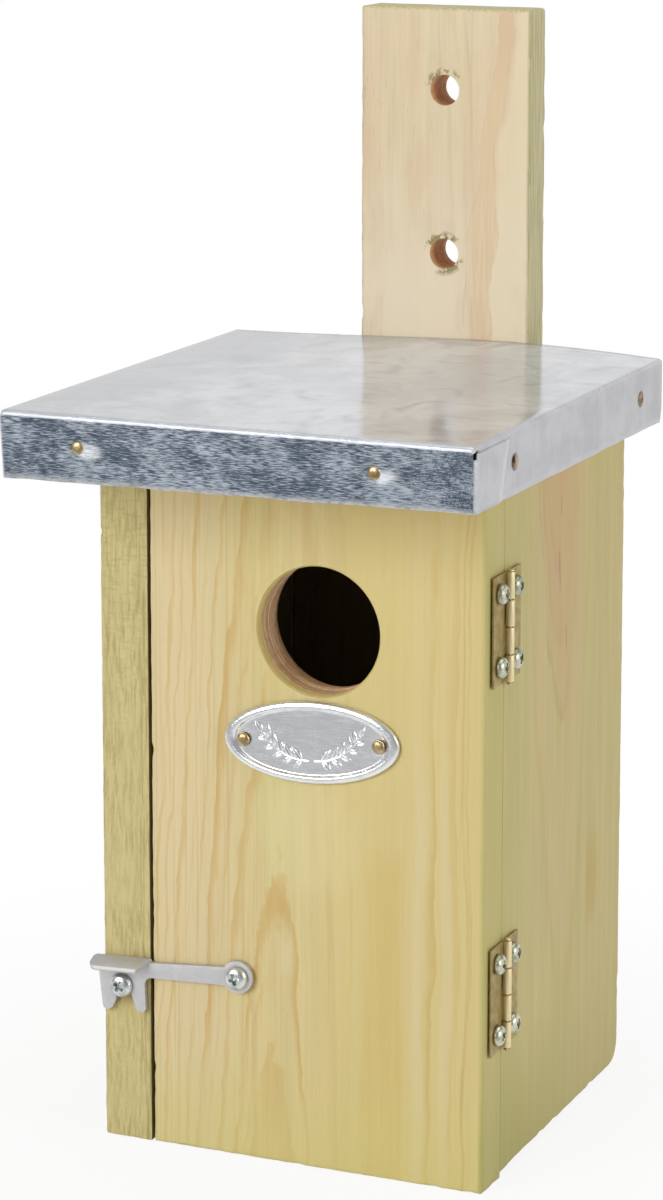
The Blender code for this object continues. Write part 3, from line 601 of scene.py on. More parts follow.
def turned(profile, sides, swell=lambda radius, height, turn: 0):
    """A shape turned round Z from its radii and heights, closed at its ends. swell adds to a radius,
    by its height and its share of the turn."""
    bm = bmesh.new()
    rings = []
    for radius, height in profile:
        if radius == 0:
            rings.append([bm.verts.new((0, 0, height))] * sides)
            continue
        ring = []
        for step in range(sides):
            wide = radius + swell(radius, height, step / sides)
            angle = math.tau * step / sides
            ring.append(bm.verts.new((wide * math.cos(angle), wide * math.sin(angle), height)))
        rings.append(ring)
    skinned(bm, rings, ring=True)
    bmesh.ops.recalc_face_normals(bm, faces=bm.faces)
    return bm


def laid(place, direction):
    """The place of a shape whose Z lies along a direction."""
    return Matrix.Translation(place) @ Vector(direction).to_track_quat("Z", "Y").to_matrix().to_4x4()


def joined(meshes):
    """One bmesh from several, each with its own place."""
    whole = bmesh.new()
    for bm, place in meshes:
        bmesh.ops.transform(bm, matrix=place, verts=bm.verts)
        scratch = bpy.data.meshes.new("scratch")
        bm.to_mesh(scratch)
        bm.free()
        whole.from_mesh(scratch)
        bpy.data.meshes.remove(scratch)
    return whole


def settled(piece, kind, **values):
    """Applies a modifier to a piece."""
    settings(piece.modifiers.new(kind.lower(), kind), **values)
    mesh = bpy.data.meshes.new_from_object(piece.evaluated_get(bpy.context.evaluated_depsgraph_get()))
    old = piece.data
    piece.modifiers.clear()
    piece.data = mesh
    bpy.data.meshes.remove(old)


def cut(piece, tool, angle, **values):
    """Cuts a tool out of a piece."""
    settled(piece, "BOOLEAN", solver="EXACT", object=tool, **values)
    bpy.data.objects.remove(tool)
    smoothed(piece.data, angle)


def drilled(piece, tools, wall):
    """Drills holes in a board, with their own material on their walls."""
    cut(piece, solid("drill", joined(tools), wall), 35, material_mode="TRANSFER")


def middle_of(node):
    """The middle of a solid."""
    low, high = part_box(node)
    return (low + high) / 2


def drill_wall(name, wood, dark, rings, skin, mouth):
    """The wall of a drilled hole: scorched end grain with the drill's rings, and nearer to its mouth
    the colour of the treated skin."""
    material, at = surface(name)
    fleck = at.cloud((0.7, 0.7, 0.7), 3)
    tone = at.cloud((0.09, rings, 0.09), 3, 0.6) * 0.7 + fleck * 0.3
    deep = at.parts()[1] + fleck.eased(0.3, 0.7, -0.5, 0.5)
    near = deep.eased(mouth * 1000 + 1.7, mouth * 1000 + 4.2, 0.88, 0)
    colour = mixed(near, mixed(tone.eased(0.36, 0.62), wood, dark), skin)
    return finished(material, colour, tone.eased(0.3, 0.7, 0.85, 0.7), tone, 0.0004)


def batten_marks(at, colour, height, _):
    """The batten's pink streak and spots, its foot painted paler as painted light, its khaki sawn edges and
    the stained torn fibres at its holes."""
    x, _, z = at.parts()
    side, _, top = batten_high * 1000
    wander = at.haze((0.05, 0.05, 0.05), 0.3, 0.7, -1, 1)
    fine = at.haze((1.6, 1.6, 0.09), 0.3, 0.65, 0.35, 1)
    patchy = at.haze((0.09, 0.09, 0.035), 0.52, 0.68, 0, 0.5) * fine
    off = x - (z.eased(205, 234, 9.4, 12.6) + z.eased(240, 281, 0, 4.4) + wander)
    aside = abs(off) / z.eased(220, 238, 3.7, 2.1)
    streak = aside.eased(0.8, 1.15, 1, 0) * off.eased(-4.2, -1.2)
    # The first stain is painted light: the batten's lower part is made paler towards (0.87, 0.755, 0.56).
    colour = stained(
        colour, (z.eased(196, 250, 0.85, 0), (0.87, 0.755, 0.56)), (patchy, (0.67, 0.53, 0.335)),
        (off.eased(2, 4.5, 0, 0.6), (0.83, 0.72, 0.50)),
        (streak * fine.eased(0.35, 1, 0.4, 0.9), (0.75, 0.565, 0.35)),
        (streak * z.eased(255, 272, 0, 0.45), (0.69, 0.48, 0.30)),
        (aside.band(0.8, 1, 1, 1.15) * fine * 0.3, (0.66, 0.42, 0.22)))
    for place, level, wide, tall in ((-8, 235, 3.2, 12), (-22.3, 238, 2, 14), (-10, 262, 4, 8)):
        spot = ((wander * 1.5 + x - place) / wide).hypot((z - level) / tall).eased(0.3, 1.3, 0.5, 0)
        colour = mixed(spot * fine, colour, (0.71, 0.52, 0.33))
    crack = at.haze((0.35, 0.35, 0.03), 0.3, 0.7, 0, 1).band(0.46, 0.5, 0.5, 0.54)
    crack = crack * x.eased(-22, -16, 0.75, 0) * z.band(236, 244, 255, 268)
    edge = abs(x).eased(side - 0.9, side - 0.2).most(z.eased(top - 0.9, top - 0.2))
    khaki = mixed(at.haze((1.6, 1.6, 0.05), 0.42, 0.6, 0, 1), (0.64, 0.575, 0.345), (0.46, 0.42, 0.20))
    colour = stained(colour, (crack, (0.55, 0.33, 0.15)), (edge * 0.9, khaki))
    torn = at.haze((1, 1, 0.75), 0.46, 0.56, 0, 1)
    for level, below in zip(BATTEN_HOLES, (0, 1)):
        up_by = z - level * 1000
        above = (up_by - x * 0.25).eased(1.6, 3.4)
        under = (x * 0.5 - up_by).eased(3.2, 4.6, 0, below)
        stain = x.hypot(up_by).eased(4.6, 6.4, 1, 0) * torn * above.most(under)
        colour = mixed(stain * 0.85, colour, (0.27, 0.21, 0.045))
        height = height - stain * 2.5
    return colour, height


def torn_wall(_, height, turn):
    """How the drill tore a hanging hole's wall."""
    return 0.00006 * noise.noise(Vector((height * 900, math.cos(math.tau * turn), 5)))


batten_pine = pine("mounting_batten", {
    "Pith": (-16, 44, 0), "Lean": (0.02, -0.02, 0), "Ring Width": 5.5, "Wander": 9, "Shift": (44, 180, 700),
    "Late Strength": 0.3, "Pale Wood": (0.745, 0.605, 0.405), "Late Wood": (0.62, 0.41, 0.20),
    "Heart Wood": (0.72, 0.54, 0.34), "Green Stain": (0.74, 0.635, 0.42), "Warm Tint": (0.74, 0.575, 0.375),
    "Stain Share": 0.6, "Heart Radius": 10}, edge=(0.50, 0.42, 0.22), marks=batten_marks)
hole_wall = drill_wall(
    "batten hole wall", (0.86, 0.52, 0.30), (0.50, 0.23, 0.11), 0.9, (0.80, 0.52, 0.26), batten_low.y)
bm = worn_board(batten_low, batten_high, (0.0022, 0.003, 0.0025), 0.0009, chips=0.2)
batten = solid("worn_mounting_batten", bm, batten_pine)
mouth = BATTEN_HOLE_RADIUS + 0.0003
bore = [(0, 0.01), (mouth, 0.01), (mouth, 0.0059), (BATTEN_HOLE_RADIUS, 0.0052),
        (BATTEN_HOLE_RADIUS, -0.0052), (BATTEN_HOLE_RADIUS + 0.0002, -0.01), (0, -0.01)]
cone = [(0, 0.002), (0.0033, 0.002), (0.0033, -0.0009), (0.0018, -0.0024), (0.0018, -0.016), (0, -0.016)]
tools = []
for level in BATTEN_HOLES:
    tool = turned(bore, 48, torn_wall)
    tools.append((tool, laid((0, middle_of("mounting_batten").y, level), (0, 1, 0))))
batten_screws = [f"{row}_{side}_batten_screw" for row in ("lower", "upper") for side in ("left", "right")]
for node in batten_screws:
    seat = middle_of(node)
    seat.y = batten_high.y
    tools.append((turned(cone, 32), laid(seat, (0, 1, 0))))
drilled(batten, tools, hole_wall)
fitted(batten, "case", "pale_pine", "mounting_batten")


# Front door
# One flat-sawn treated board, 12 mm thick, that fills the front between the left side board's edge
# and the right corner. A 32 mm entrance is bored through it with a hole saw, which scorched its wall.

ENTRANCE_RADIUS = 0.016
ENTRANCE_X, ENTRANCE_LEVEL = 0.00775, 0.136
SAW_STEPS = 26
SAW_RIDGE = 0.00016
door_low, door_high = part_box("front_door")

# The door's growth lines: how far each lies from the pith, how wide it fades in, how strong it is, and
# on which side of the pith it shows.
DOOR_LINES = (
    (12.1, 2.2, 0.5, 0), (13.4, 0.6, 0.35, -1), (14.7, 0.9, 0.85, 0), (18, 1.4, 0.6, -1),
    (20.3, 0.5, 0.3, -1), (23, 2, 0.85, -1), (25.9, 0.9, 0.55, -1), (28.3, 0.6, 0.3, -1),
    (30.9, 1.2, 0.6, -1), (33.4, 0.6, 0.4, -1), (35.6, 1, 0.5, -1), (20.4, 1.2, 0.2, 1),
    (24.2, 1, 0.2, 1), (43.6, 1.8, 0.6, 1), (49.4, 3.2, 0.35, 1), (52.6, 1, 0.45, 1),
)


def door_marks(at, colour, height, _):
    """The door's paler lined left third, the flame of its growth lines, its calm right side with warm
    and pale bands, its greener edge at the hinges and its plain inner face."""
    x, y, z = at.parts()
    swing = at.haze((0.07, 0.07, 0.02), 0.3, 0.7, -0.9, 0.9)
    jag = at.haze((0.3, 0.3, 0.11), 0.3, 0.7, -0.28, 0.28)
    fade = at.haze((0.25, 0.25, 0.022), 0.32, 0.6, 0.35, 1)
    across = x + swing
    calm = across.eased(4, 17, 0, 0.75) * at.haze((0.1, 0.1, 0.01), 0.3, 0.6, 0.6, 1)
    fine = at.haze((1.3, 1, 0.012), 0.54, 0.66, 0, 1) * x.eased(-12, 4, 0.42, 0.1)
    colour = stained(
        colour, (calm, (0.67, 0.55, 0.236)), (across.eased(-25, -6, 0.55, 0), (0.735, 0.61, 0.385)),
        (fine, (0.57, 0.41, 0.17)))
    aside = x - (z * 0.028 - 5.2) + swing
    radius = aside.hypot(y - (z * 0.054 - 28.5)) + jag
    sides = {0: fade, -1: fade * aside.eased(-5, 1, 1, 0), 1: fade * aside.eased(0, 6)}
    for place, inner, strength, side in DOOR_LINES:
        line = radius.band(place - inner, place, place, place + 0.3) * sides[side] * strength
        colour = mixed(line, colour, (0.59, 0.385, 0.125))
    warm = across.band(18.3, 20.3, 29.5, 31.5) * z.eased(76, 88, 1, 0.15)
    warm = warm * at.haze((0.5, 0.5, 0.012), 0.3, 0.6, 0.3, 0.7)
    colour = mixed(warm, colour, (0.64, 0.475, 0.165))
    for place, wide in ((34.3, 1.7), (41, 1.8), (-1.5, 2.4)):
        level = z.eased(90, 120, 1, 0.2) if place > 0 else z.band(47, 51, 55, 60)
        stripe = abs(across - place).eased(wide * 0.4, wide, 0.4, 0) * level
        colour = mixed(stripe, colour, (0.715, 0.61, 0.385))
    thin = abs(across - 46.3).eased(0.15, 0.55, 0.35, 0) * fade
    spot = ((x - 4) / 17).hypot((z - 84) / 17).eased(0.4, 1.2, 0.5, 0) * fade
    hinged = x.eased(49.6, 50.6)
    green = hinged * at.haze((0.3, 0.3, 0.02), 0.3, 0.65, 0.45, 0.75)
    inner = y.eased(-34, -31.5) * (1 - hinged)
    plain = mixed(at.haze((0.55, 0.55, 0.011), 0.4, 0.62, 0, 1, 4), (0.66, 0.55, 0.275), (0.56, 0.425, 0.185))
    return stained(
        colour, (thin, (0.48, 0.33, 0.10)), (spot, (0.745, 0.655, 0.34)),
        (z.eased(2, 34, 0.45, 0), (0.63, 0.565, 0.205)), (green, (0.53, 0.48, 0.17)), (inner, plain),
        (hinged * z.eased(4, 40, 0.5, 0), GREEN_FOOT)), height


def hung_edge(spot):
    """The door's back arris at the hinges."""
    return spot.x > 0.045 and spot.y > door_high.y - 0.004


def shank_hole(node, radius, facing):
    """A hole for a fastener's shank, in line with its solid."""
    low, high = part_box(node)
    half = max(high - low) / 2 + 0.001
    return turned([(0, half), (radius, half), (radius, -half), (0, -half)], 20), laid(middle_of(node), facing)


door_pine = pine("front_door", {
    **TREATED, "Pith": (-5.2, -28.5, 0), "Lean": (0.028, 0.054, 0), "Ring Width": 4.2, "Wander": 3.2,
    "Shift": (3, 95, 33), "Late Strength": 0.25, "Stain Share": 0.3}, marks=door_marks, past=(0, 5), dark=0)
entrance_wall = drill_wall(
    "entrance wall", (0.90, 0.66, 0.42), (0.66, 0.40, 0.22), 1.1, (0.76, 0.64, 0.24), door_low.y)
back_corner = door_high + Vector((0, 0.0004, 0))
bm = worn_board(door_low, back_corner, (0.0018, 0.003, 0.002), crisp=hung_edge, nicks=0.16)
door = solid("worn_front_door", bm, door_pine)
half = (door_high.y - door_low.y) / 2
mouth = [(0, 0.012), (ENTRANCE_RADIUS + 0.0006, 0.012), (ENTRANCE_RADIUS + 0.0004, half - 0.0001)]
bore = []
for step in range(SAW_STEPS + 1):
    height = (half - 0.0006) * (1 - 2 * step / SAW_STEPS)
    ridge = SAW_RIDGE * (1 + math.sin(height * 5200)) * (0.6 + 0.4 * math.sin(height * 1300))
    bore.append((ENTRANCE_RADIUS + ridge, height))
profile = [*mouth, *bore, *((radius, -height) for radius, height in reversed(mouth))]
entrance = (ENTRANCE_X, middle_of("front_door").y, ENTRANCE_LEVEL)
tools = [(turned(profile, 96), laid(entrance, (0, 1, 0)))]
for where in ("upper", "lower"):
    for place in ("top", "bottom"):
        tools.append(shank_hole(f"{where}_hinge_door_{place}_screw", 0.0014, (1, 0, 0)))
for node, radius in (
    ("latch_pivot_screw", 0.0017), ("left_plate_nail", 0.0009), ("right_plate_nail", 0.0009),
):
    tools.append(shank_hole(node, radius, (0, -1, 0)))
drilled(door, tools, entrance_wall)
fitted(door, "door", "treated_pine", "front_door")


# Roof board
# A treated board under the metal, screwed down into the sides and the back: it gives the sheet its
# flat shape and takes its nails.

coated("roof_board", {"Pith": (-4, 30, 0), "Lean": (0.4, 0.5, 0), "Ring Width": 2.6, "Shift": (90, 320, 75)})


# Roof sheet
# Half a millimetre of galvanised steel, folded by hand over the roof board: a top, a fascia down each
# side, and a front fascia whose ends are folded back over the sides. Its back edge is left free.

SHEET = 0.0005
BEND = 0.00055
TAB_TOP = 0.0223
TAB_FOOT = 0.0165
TAB_STEPS = 14
RIM = 0.0003
SHEET_PITCH = 0.0022
SIDE_PITCH = 0.0016
SLIT = {-1: 0.0016, 1: 0.0028}
ROOF_NAIL_LEVEL = 0.1832
FRONT_NAILS = (-0.040, 0.036)
SIDE_NAILS = (-0.04615, 0.04375)
NAIL_DENT = 0.003
BACK_BOW = 0.0017
TOP_RIPPLE = 0.00014
SKEW = 0.001
sheet_low, sheet_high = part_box("roof_sheet")
sheet_half = sheet_high.x - SHEET
sheet_front, sheet_back = sheet_low.y, sheet_high.y
sheet_top, sheet_foot = sheet_high.z, sheet_low.z


def quarter(centre, radius, start, end, steps=5):
    """Places on an arc, without its first one."""
    angles = [math.radians(start + (end - start) * step / steps) for step in range(1, steps + 1)]
    return [(centre[0] + radius * math.cos(a), centre[1] + radius * math.sin(a)) for a in angles]


def share_of(value, low, high):
    """How far a value lies between two others, from 0 to 1."""
    return min(max((value - low) / (high - low), 0), 1)


def dented(place, level, nails):
    """How much of a nail's dent reaches a place."""
    aways = [math.hypot(place - nail, level - ROOF_NAIL_LEVEL) for nail in nails]
    return sum(math.exp(-((away / NAIL_DENT) ** 2)) for away in aways)


def hand_folded(x, y, z):
    """How the sheet really lies: bowed up at its free back edge, softly rippled, dented by the nails,
    with its fascias a little uneven."""
    rear = share_of(y, sheet_front, sheet_back)
    across = share_of(x, -sheet_half, sheet_half)
    on_top = share_of(z, sheet_top - 2 * BEND, sheet_top)
    down = share_of(z, sheet_top, sheet_foot)
    lift = BACK_BOW * math.sin(math.pi * across**1.6) * rear**2.6
    lift += TOP_RIPPLE * noise.noise(Vector((x * 26, y * 30, 3.1))) * math.sin(math.pi * across)
    level = z + on_top * lift + SKEW * down * across * (1 - 0.8 * rear)
    if down > 0.75:
        level += 0.0009 * (down - 0.75) * (0.4 + noise.noise(Vector((x * 120, y * 120, 0.4))))
    place_y = y
    if y < sheet_front + 0.001:
        place_y += 0.00022 * dented(x, z, FRONT_NAILS)
    if y < sheet_front + 0.002:
        place_y += 0.00018 * down * noise.noise(Vector((x * 45, 1.7, z * 60)))
    if abs(x) >= sheet_half and rear > 0.95:
        place_y -= 0.0012 * share_of(rear, 0.95, 1) * share_of(down, 0.7, 1) ** 2
    place_x = x
    if abs(x) > sheet_half - 0.0002:
        place_x -= math.copysign(0.0002 * dented(y, z, SIDE_NAILS), x)
    near_corner = math.exp(-(((y - sheet_front) / 0.012) ** 2))
    place_x += 0.0009 * down * (1 - across) ** 12 * near_corner
    return Vector((place_x, place_y, level))


bm = bmesh.new()
# The fold shade tone marks painted shade: the front ends of the side fascias, where the front's tabs fold
# over them, are painted nearly black.
TONES = [bm.verts.layers.float.new(name) for name in ("front_tone", "side_tone", "rim_tone", "fold_shade_tone")]
known = {}


def sheet_point(x, y, z, *tones):
    """A point of the sheet's outer skin, used again where another fold meets it. Its tones are how far it
    belongs to the front and to the sides, to a rim that is made paler for wear and as a painted highlight,
    and to the painted shade inside a fold."""
    key = (round(x, 6), round(y, 6), round(z, 6))
    if key not in known:
        made = bm.verts.new(hand_folded(x, y, z))
        for layer, tone in zip(TONES, tones):
            made[layer] = tone
        known[key] = made
    return known[key]


side_rows = spaced(sheet_foot, sheet_top - BEND, SIDE_PITCH)
round_side = quarter((sheet_half - BEND, sheet_top - BEND), BEND, 90, 0)
top_places = spaced(BEND - sheet_half, sheet_half - BEND, SHEET_PITCH)
half_section = [(x, z, 0.5) for x, z in round_side[:-1]] + [(sheet_half, z, 1) for z in reversed(side_rows)]
section = [(-x, z, tone) for x, z, tone in reversed(half_section)]
section += [(x, sheet_top, 0) for x in top_places] + half_section
front_row = sheet_front + BEND
grid = []
for y in spaced(front_row, sheet_back, SHEET_PITCH):
    row = []
    for x, z, tone in section:
        rim = float(z < sheet_foot + RIM or y > sheet_back - RIM)
        row.append(sheet_point(x, y, z, 0, tone, rim, float(y == front_row and tone > 0.9)))
    grid.append(row)
skinned(bm, grid)

face_shares = [0, 0.025, *spaced(0.1, 1, 0.1)]
columns = []
crowns = [(-x, z) for x, z in reversed(round_side)] + [(x, sheet_top) for x in top_places] + round_side
for x, crown in crowns:
    brow = crown - BEND
    places = [(front_row, crown, 0)] + [(y, z, 0.5) for y, z in quarter((front_row, brow), BEND, 90, 180)]
    places += [(sheet_front, brow + (sheet_foot - brow) * share, 1) for share in face_shares[1:]]
    columns.append([sheet_point(x, y, z, tone, 0, float(z < sheet_foot + RIM), 0) for y, z, tone in places])
skinned(bm, columns)

brow = sheet_top - 2 * BEND
face_rows = [brow + (sheet_foot - brow) * share for share in face_shares]
fold = quarter((sheet_half, sheet_front + SHEET), SHEET, -90, 0, 4)
for sign in (-1, 1):
    rows = [columns[-1 if sign > 0 else 0][-len(face_rows):]]
    for step, (x, y) in enumerate(fold):
        tone = 1 - (step + 1) / len(fold)
        rows.append([sheet_point(sign * x, y, z, tone, 1 - tone, 0.5, 0) for z in face_rows])
    for step in range(TAB_STEPS):
        share = (step + 1) / TAB_STEPS
        row = []
        for z in face_rows:
            end = TAB_FOOT + (TAB_TOP - TAB_FOOT) * share_of(z, sheet_foot, brow)
            here = sheet_front + SHEET + (end - SHEET) * share
            out = sheet_half + SHEET - 0.00042 * share_of(share, 0.78, 1) ** 1.5
            row.append(sheet_point(sign * out, here, z, 0, 1, 0.7 * float(share > 0.8), 0))
        rows.append(row)
    slit = sum(z > sheet_top - SLIT[sign] for z in face_rows[1:])
    for part in ([row[slit:] for row in rows[:len(fold) + 1]], rows[len(fold):]):
        skinned(bm, part[::sign])


def galvanised():
    """Zinc on steel: a pale smudged top that mirrors softly, a front with fine level dashes whose dark tone
    is a painted dark reflection, and matt clouded sides painted pale as a painted bright reflection."""
    material, at = surface("galvanised sheet")
    x, y, z = at.parts()
    front, side, rim, fold_shade = (
        read(material.node_tree, "Attribute", output="Fac", attribute_name=f"{name}_tone")
        for name in ("front", "side", "rim", "fold_shade"))
    nail_rise = z - ROOF_NAIL_LEVEL * 1000
    smudge = at.cloud((0.05, 0.04, 0.05), 4, 0.6, 0.5)
    # The top darkens towards its left end.
    darker_to_left = (x + smudge.eased(0.3, 0.7, -14, 14)).eased(-60, 6, 0.85, 0)
    spots = at.cloud((0.09, 0.06, 0.1), 2, 0.5, 0.8).eased(0.5, 0.76)
    spots = spots.most(at.cloud((0.11, 0.3, 0.1), 3, 0.5, 0.3).eased(0.52, 0.78, 0, 0.7))
    top = stained(mixed(smudge.eased(0.35, 0.65), (0.545, 0.555, 0.585), (0.68, 0.69, 0.72)),
                  (darker_to_left, (0.40, 0.41, 0.44)), (spots * 0.6, (0.33, 0.34, 0.36)))
    dash = at.cloud((0.42, 0.5, 4), 3, 0.6, 0.3)
    crackle = at.cloud((1.6, 1.6, 2.1), 2, 0.6, 1.2)
    patch = at.cloud((0.085, 0.085, 0.16), 3, 0.6, 0.5)
    dash = dash + (crackle - dash) * x.eased(34, 58, 0, 0.55) + patch.eased(0.3, 0.7, -0.1, 0.05)
    # The last term is painted shade: the front's dashes darken towards its left end.
    dash = dash + abs(x - 16).eased(4, 11, -0.04, 0) + x.eased(-58, -18, -0.03, 0)
    hairline = at.cloud((0.35, 0.5, 8), 2, 0.55).eased(0.35, 0.65, -0.06, 0.06)
    # Painted reflection: the front's dashes lie on a very dark base, standing in for the dark surroundings
    # the front mirrors.
    streaks = mixed((dash + hairline).eased(0.36, 0.64), (0.035, 0.058, 0.092), (0.405, 0.455, 0.515))
    # Painted highlight: a pale glint is painted beside each front nail, where the sheet is dented.
    for place in FRONT_NAILS:
        away = ((x - (place * 1000 + 2.2)) * 0.7).hypot(nail_rise + 0.8) + patch.eased(0.3, 0.7, -1, 1)
        painted_dent_glint = away.eased(0.6, 3, 1, 0) * dash.eased(0.32, 0.5, 0.55, 1)
        streaks = mixed(painted_dent_glint, streaks, (0.74, 0.77, 0.80))
    drag = at.cloud((0.8, 0.5, 0.09), 3, 0.6)
    mist = at.cloud((0.1, 0.075, 0.12), 3, 0.6) + drag.eased(0.3, 0.7, -0.06, 0.06)
    # Painted reflection: the sides are painted pale, standing in for the bright surroundings they mirror.
    colour = mixed(side, top, mixed(mist.eased(0.32, 0.68), (0.515, 0.51, 0.54), (0.60, 0.595, 0.615)))
    # Each side nail gets a darker ring round it on the side fascias.
    for place in SIDE_NAILS:
        dark_nail_ring = (y - place * 1000).hypot(nail_rise).eased(1.75, 2.5, 0.85, 0)
        colour = mixed(dark_nail_ring * side, colour, (0.10, 0.075, 0.07))
    # The rim is made paler, partly for wear and partly as a painted highlight along the sheet's edges and the
    # tabs' folded ends.
    rim_wear_and_sheen = rim * at.cloud((0.5, 1.4, 1.4), 2, 0.55).eased(0.3, 0.6, 0.5, 1)
    # The band on the front tone is a painted highlight along the front's folds, and the fold shade tone
    # paints shade there nearly black.
    colour = stained(
        colour, (front, streaks), (front.band(0.1, 0.4, 0.6, 0.95) * 0.5, (0.72, 0.74, 0.77)),
        (rim_wear_and_sheen, (0.72, 0.73, 0.75)), (fold_shade, (0.02, 0.02, 0.022)))
    gloss = smudge.eased(0.3, 0.7, 0.11, 0.18) + side * 0.3 + front * 0.22
    relief = dash * front + smudge * 0.25 + mist * side * 0.5
    return finished(material, colour, gloss, relief, 0.00012, {"Metallic": front * 0.1 + 0.2})


sheet = solid("folded_roof_sheet", bm, galvanised(), 50)
settled(sheet, "SOLIDIFY", thickness=SHEET, offset=-1, use_even_offset=True)
fitted(sheet, "case", "galvanised_sheet", "roof_sheet")


# Roof nails
# Small brass nails with domed heads, driven through the fascias into the roof board: two at the
# front and two at each side.

NAIL_HEAD = 0.0017
NAIL_RISE = 0.0008
NAIL_SHANK = 0.0007
NAIL_SINK = 0.0003


def fastener_tree():
    """Sets one fastener at each point, facing the way that the point keeps, turned by its own chance."""
    tree, given = node_group("driven fasteners", "GeometryNodeTree", {
        "Geometry": ("Seats",), "Object": ("Fastener",), "Float": ("Size", "Turn Spread"), "Int": ("Seed",),
        "Material": ("Finish",)}, {"Geometry": ("Fasteners",)})
    facing = read(
        tree, "GeometryNodeInputNamedAttribute", {"Name": "facing"}, "Attribute", data_type="FLOAT_VECTOR")
    aligned = read(tree, "FunctionNodeAlignRotationToVector", {"Vector": facing}, axis="Z")
    chance = read(tree, "FunctionNodeRandomValue", {"Seed": given("Seed")}, 1, data_type="FLOAT")
    turn = chance * given("Turn Spread")
    spin = read(tree, "FunctionNodeAxisAngleToRotation", {"Axis": (0, 0, 1), "Angle": turn})
    aligned = read(tree, "FunctionNodeRotateRotation", {0: aligned, 1: spin}, rotation_space="LOCAL")
    shape = read(tree, "GeometryNodeObjectInfo", {"Object": given("Fastener")}, "Geometry")
    driven_in = read(tree, "GeometryNodeInstanceOnPoints", {
        "Points": given("Seats"), "Instance": shape, "Rotation": aligned, "Scale": given("Size")})
    real = read(tree, "GeometryNodeRealizeInstances", {0: driven_in})
    real = read(tree, "GeometryNodeSetMaterial", {"Geometry": real, "Material": given("Finish")})
    add_node(tree, "NodeGroupOutput", {"Fasteners": real})
    return tree


FASTENERS = fastener_tree()


def seat_of(node, facing, rise):
    """Where a fastener's head sits, from its solid: its outer end less the rise of its head."""
    low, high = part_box(node)
    facing = Vector(facing)
    seat = (low + high) / 2
    for axis in range(3):
        if facing[axis]:
            seat[axis] = (high if facing[axis] > 0 else low)[axis] - facing[axis] * rise
    return seat, facing


def driven(name, shape, ways, rise, finish, body, slot, seed):
    """The fasteners of one kind on one body, as one plain mesh in place of their solids. ways says
    which way each of them faces."""
    seats = [seat_of(node, facing, rise) for node, facing in ways.items()]
    mesh = bpy.data.meshes.new(name)
    mesh.from_pydata([seat for seat, _ in seats], [], [])
    facing = mesh.attributes.new("facing", "FLOAT_VECTOR", "POINT")
    for index, (_, direction) in enumerate(seats):
        facing.data[index].vector = direction
    points = placed(name, mesh)
    setter = settings(points.modifiers.new("fasteners", "NODES"), node_group=FASTENERS)
    values = {"Fastener": shape, "Size": 1.0, "Turn Spread": 3.0, "Seed": seed, "Finish": finish}
    for item in FASTENERS.interface.items_tree:
        if item.name in values:
            setter[item.identifier] = values[item.name]
    made = bpy.data.meshes.new_from_object(points.evaluated_get(bpy.context.evaluated_depsgraph_get()))
    points.modifiers.clear()
    points.data = made
    made.name = name
    fitted(points, body, slot, *ways)


def metal(name, bright, dull, rough, scratch=0.3, metallic=1, relief=0.00003, marks=None):
    """A plated metal: worn between a bright and a dull tone, with fine scratches in its gloss. marks
    lays on what only this piece has."""
    material, at = surface(name)
    cloud = at.cloud((0.42, 0.42, 0.42), 4, 0.6)
    lines = at.cloud((0.9, 5.2, 2.6), 3, turn=(0.3, 0.5, 0.2))
    colour = mixed(cloud.eased(0.38, 0.64), bright, dull)
    if marks:
        colour = marks(at, colour)
    gloss = cloud.eased(0.3, 0.7, rough, rough + 0.12) + lines.eased(0.35, 0.65, 0, scratch * 0.3)
    return finished(material, colour, gloss, lines * scratch + cloud * 0.5, relief, {"Metallic": metallic})


def nail_shape(name, length):
    """A nail about Z, with its head's seat at zero: a hammered dome, ringed shank and sharp point."""
    dome = [(0, NAIL_RISE)]
    for step in range(1, 9):
        angle = math.radians(90 * step / 8)
        rise = NAIL_RISE * max(math.cos(angle), 0) ** 0.8 + 0.00005
        dome.append((NAIL_HEAD * math.sin(angle) ** 0.9, rise))
    body = [(NAIL_HEAD * 0.97, 0), (NAIL_SHANK, 0), (NAIL_SHANK, 0.0015 - length)]
    point = [(NAIL_SHANK * 0.3, 0.0002 - length), (0, -length)]

    def hammered(radius, height, turn):
        spot = Vector((math.cos(math.tau * turn) * 2, math.sin(math.tau * turn) * 2, height * 900))
        return 0.035 * radius * noise.noise(spot)

    made = solid(name, turned([*dome, *body, *point], 28, hammered), None, 40)
    return settings(made, hide_render=True)


BRASS = metal("brass nail", (0.66, 0.51, 0.28), (0.38, 0.27, 0.13), 0.22)
TARNISHED = metal("tarnished brass nail", (0.52, 0.34, 0.20), (0.05, 0.03, 0.02), 0.3, 0.8, relief=0.0004)
roof_nail = nail_shape("roof nail shape", 0.012)
front_nails = {f"front_{side}_roof_nail": (0, -1, 0) for side in ("left", "right")}
side_nails = {
    f"{side}_{place}_roof_nail": (way, 0, 0) for side, way in (("left", -1), ("right", 1))
    for place in ("front", "back")}
for name, ways, finish, seed in (
    ("front_roof_nails", front_nails, BRASS, 4), ("side_roof_nails", side_nails, TARNISHED, 9),
):
    driven(name, roof_nail, ways, NAIL_RISE + NAIL_SINK, finish, "case", "brass_nails", seed)


# Countersunk screws
# Bright zinc wood screws: six through the roof board, two through the back wall into the floor and
# four through the batten into the back wall, with their heads just under the surface.

THREAD_PITCH = 0.0011
THREAD_DEPTH = 0.3
CROSS_WIDTH = 0.00115
SUNK = 0.0003
SUNK_SHANK = 0.0015
FLAT_HEAD = [
    (0, -SUNK), (0.0016, -SUNK), (0.0029, -0.00034), (0.003, -0.0005), (0.003, -0.00065), (0.0015, -0.0021)]


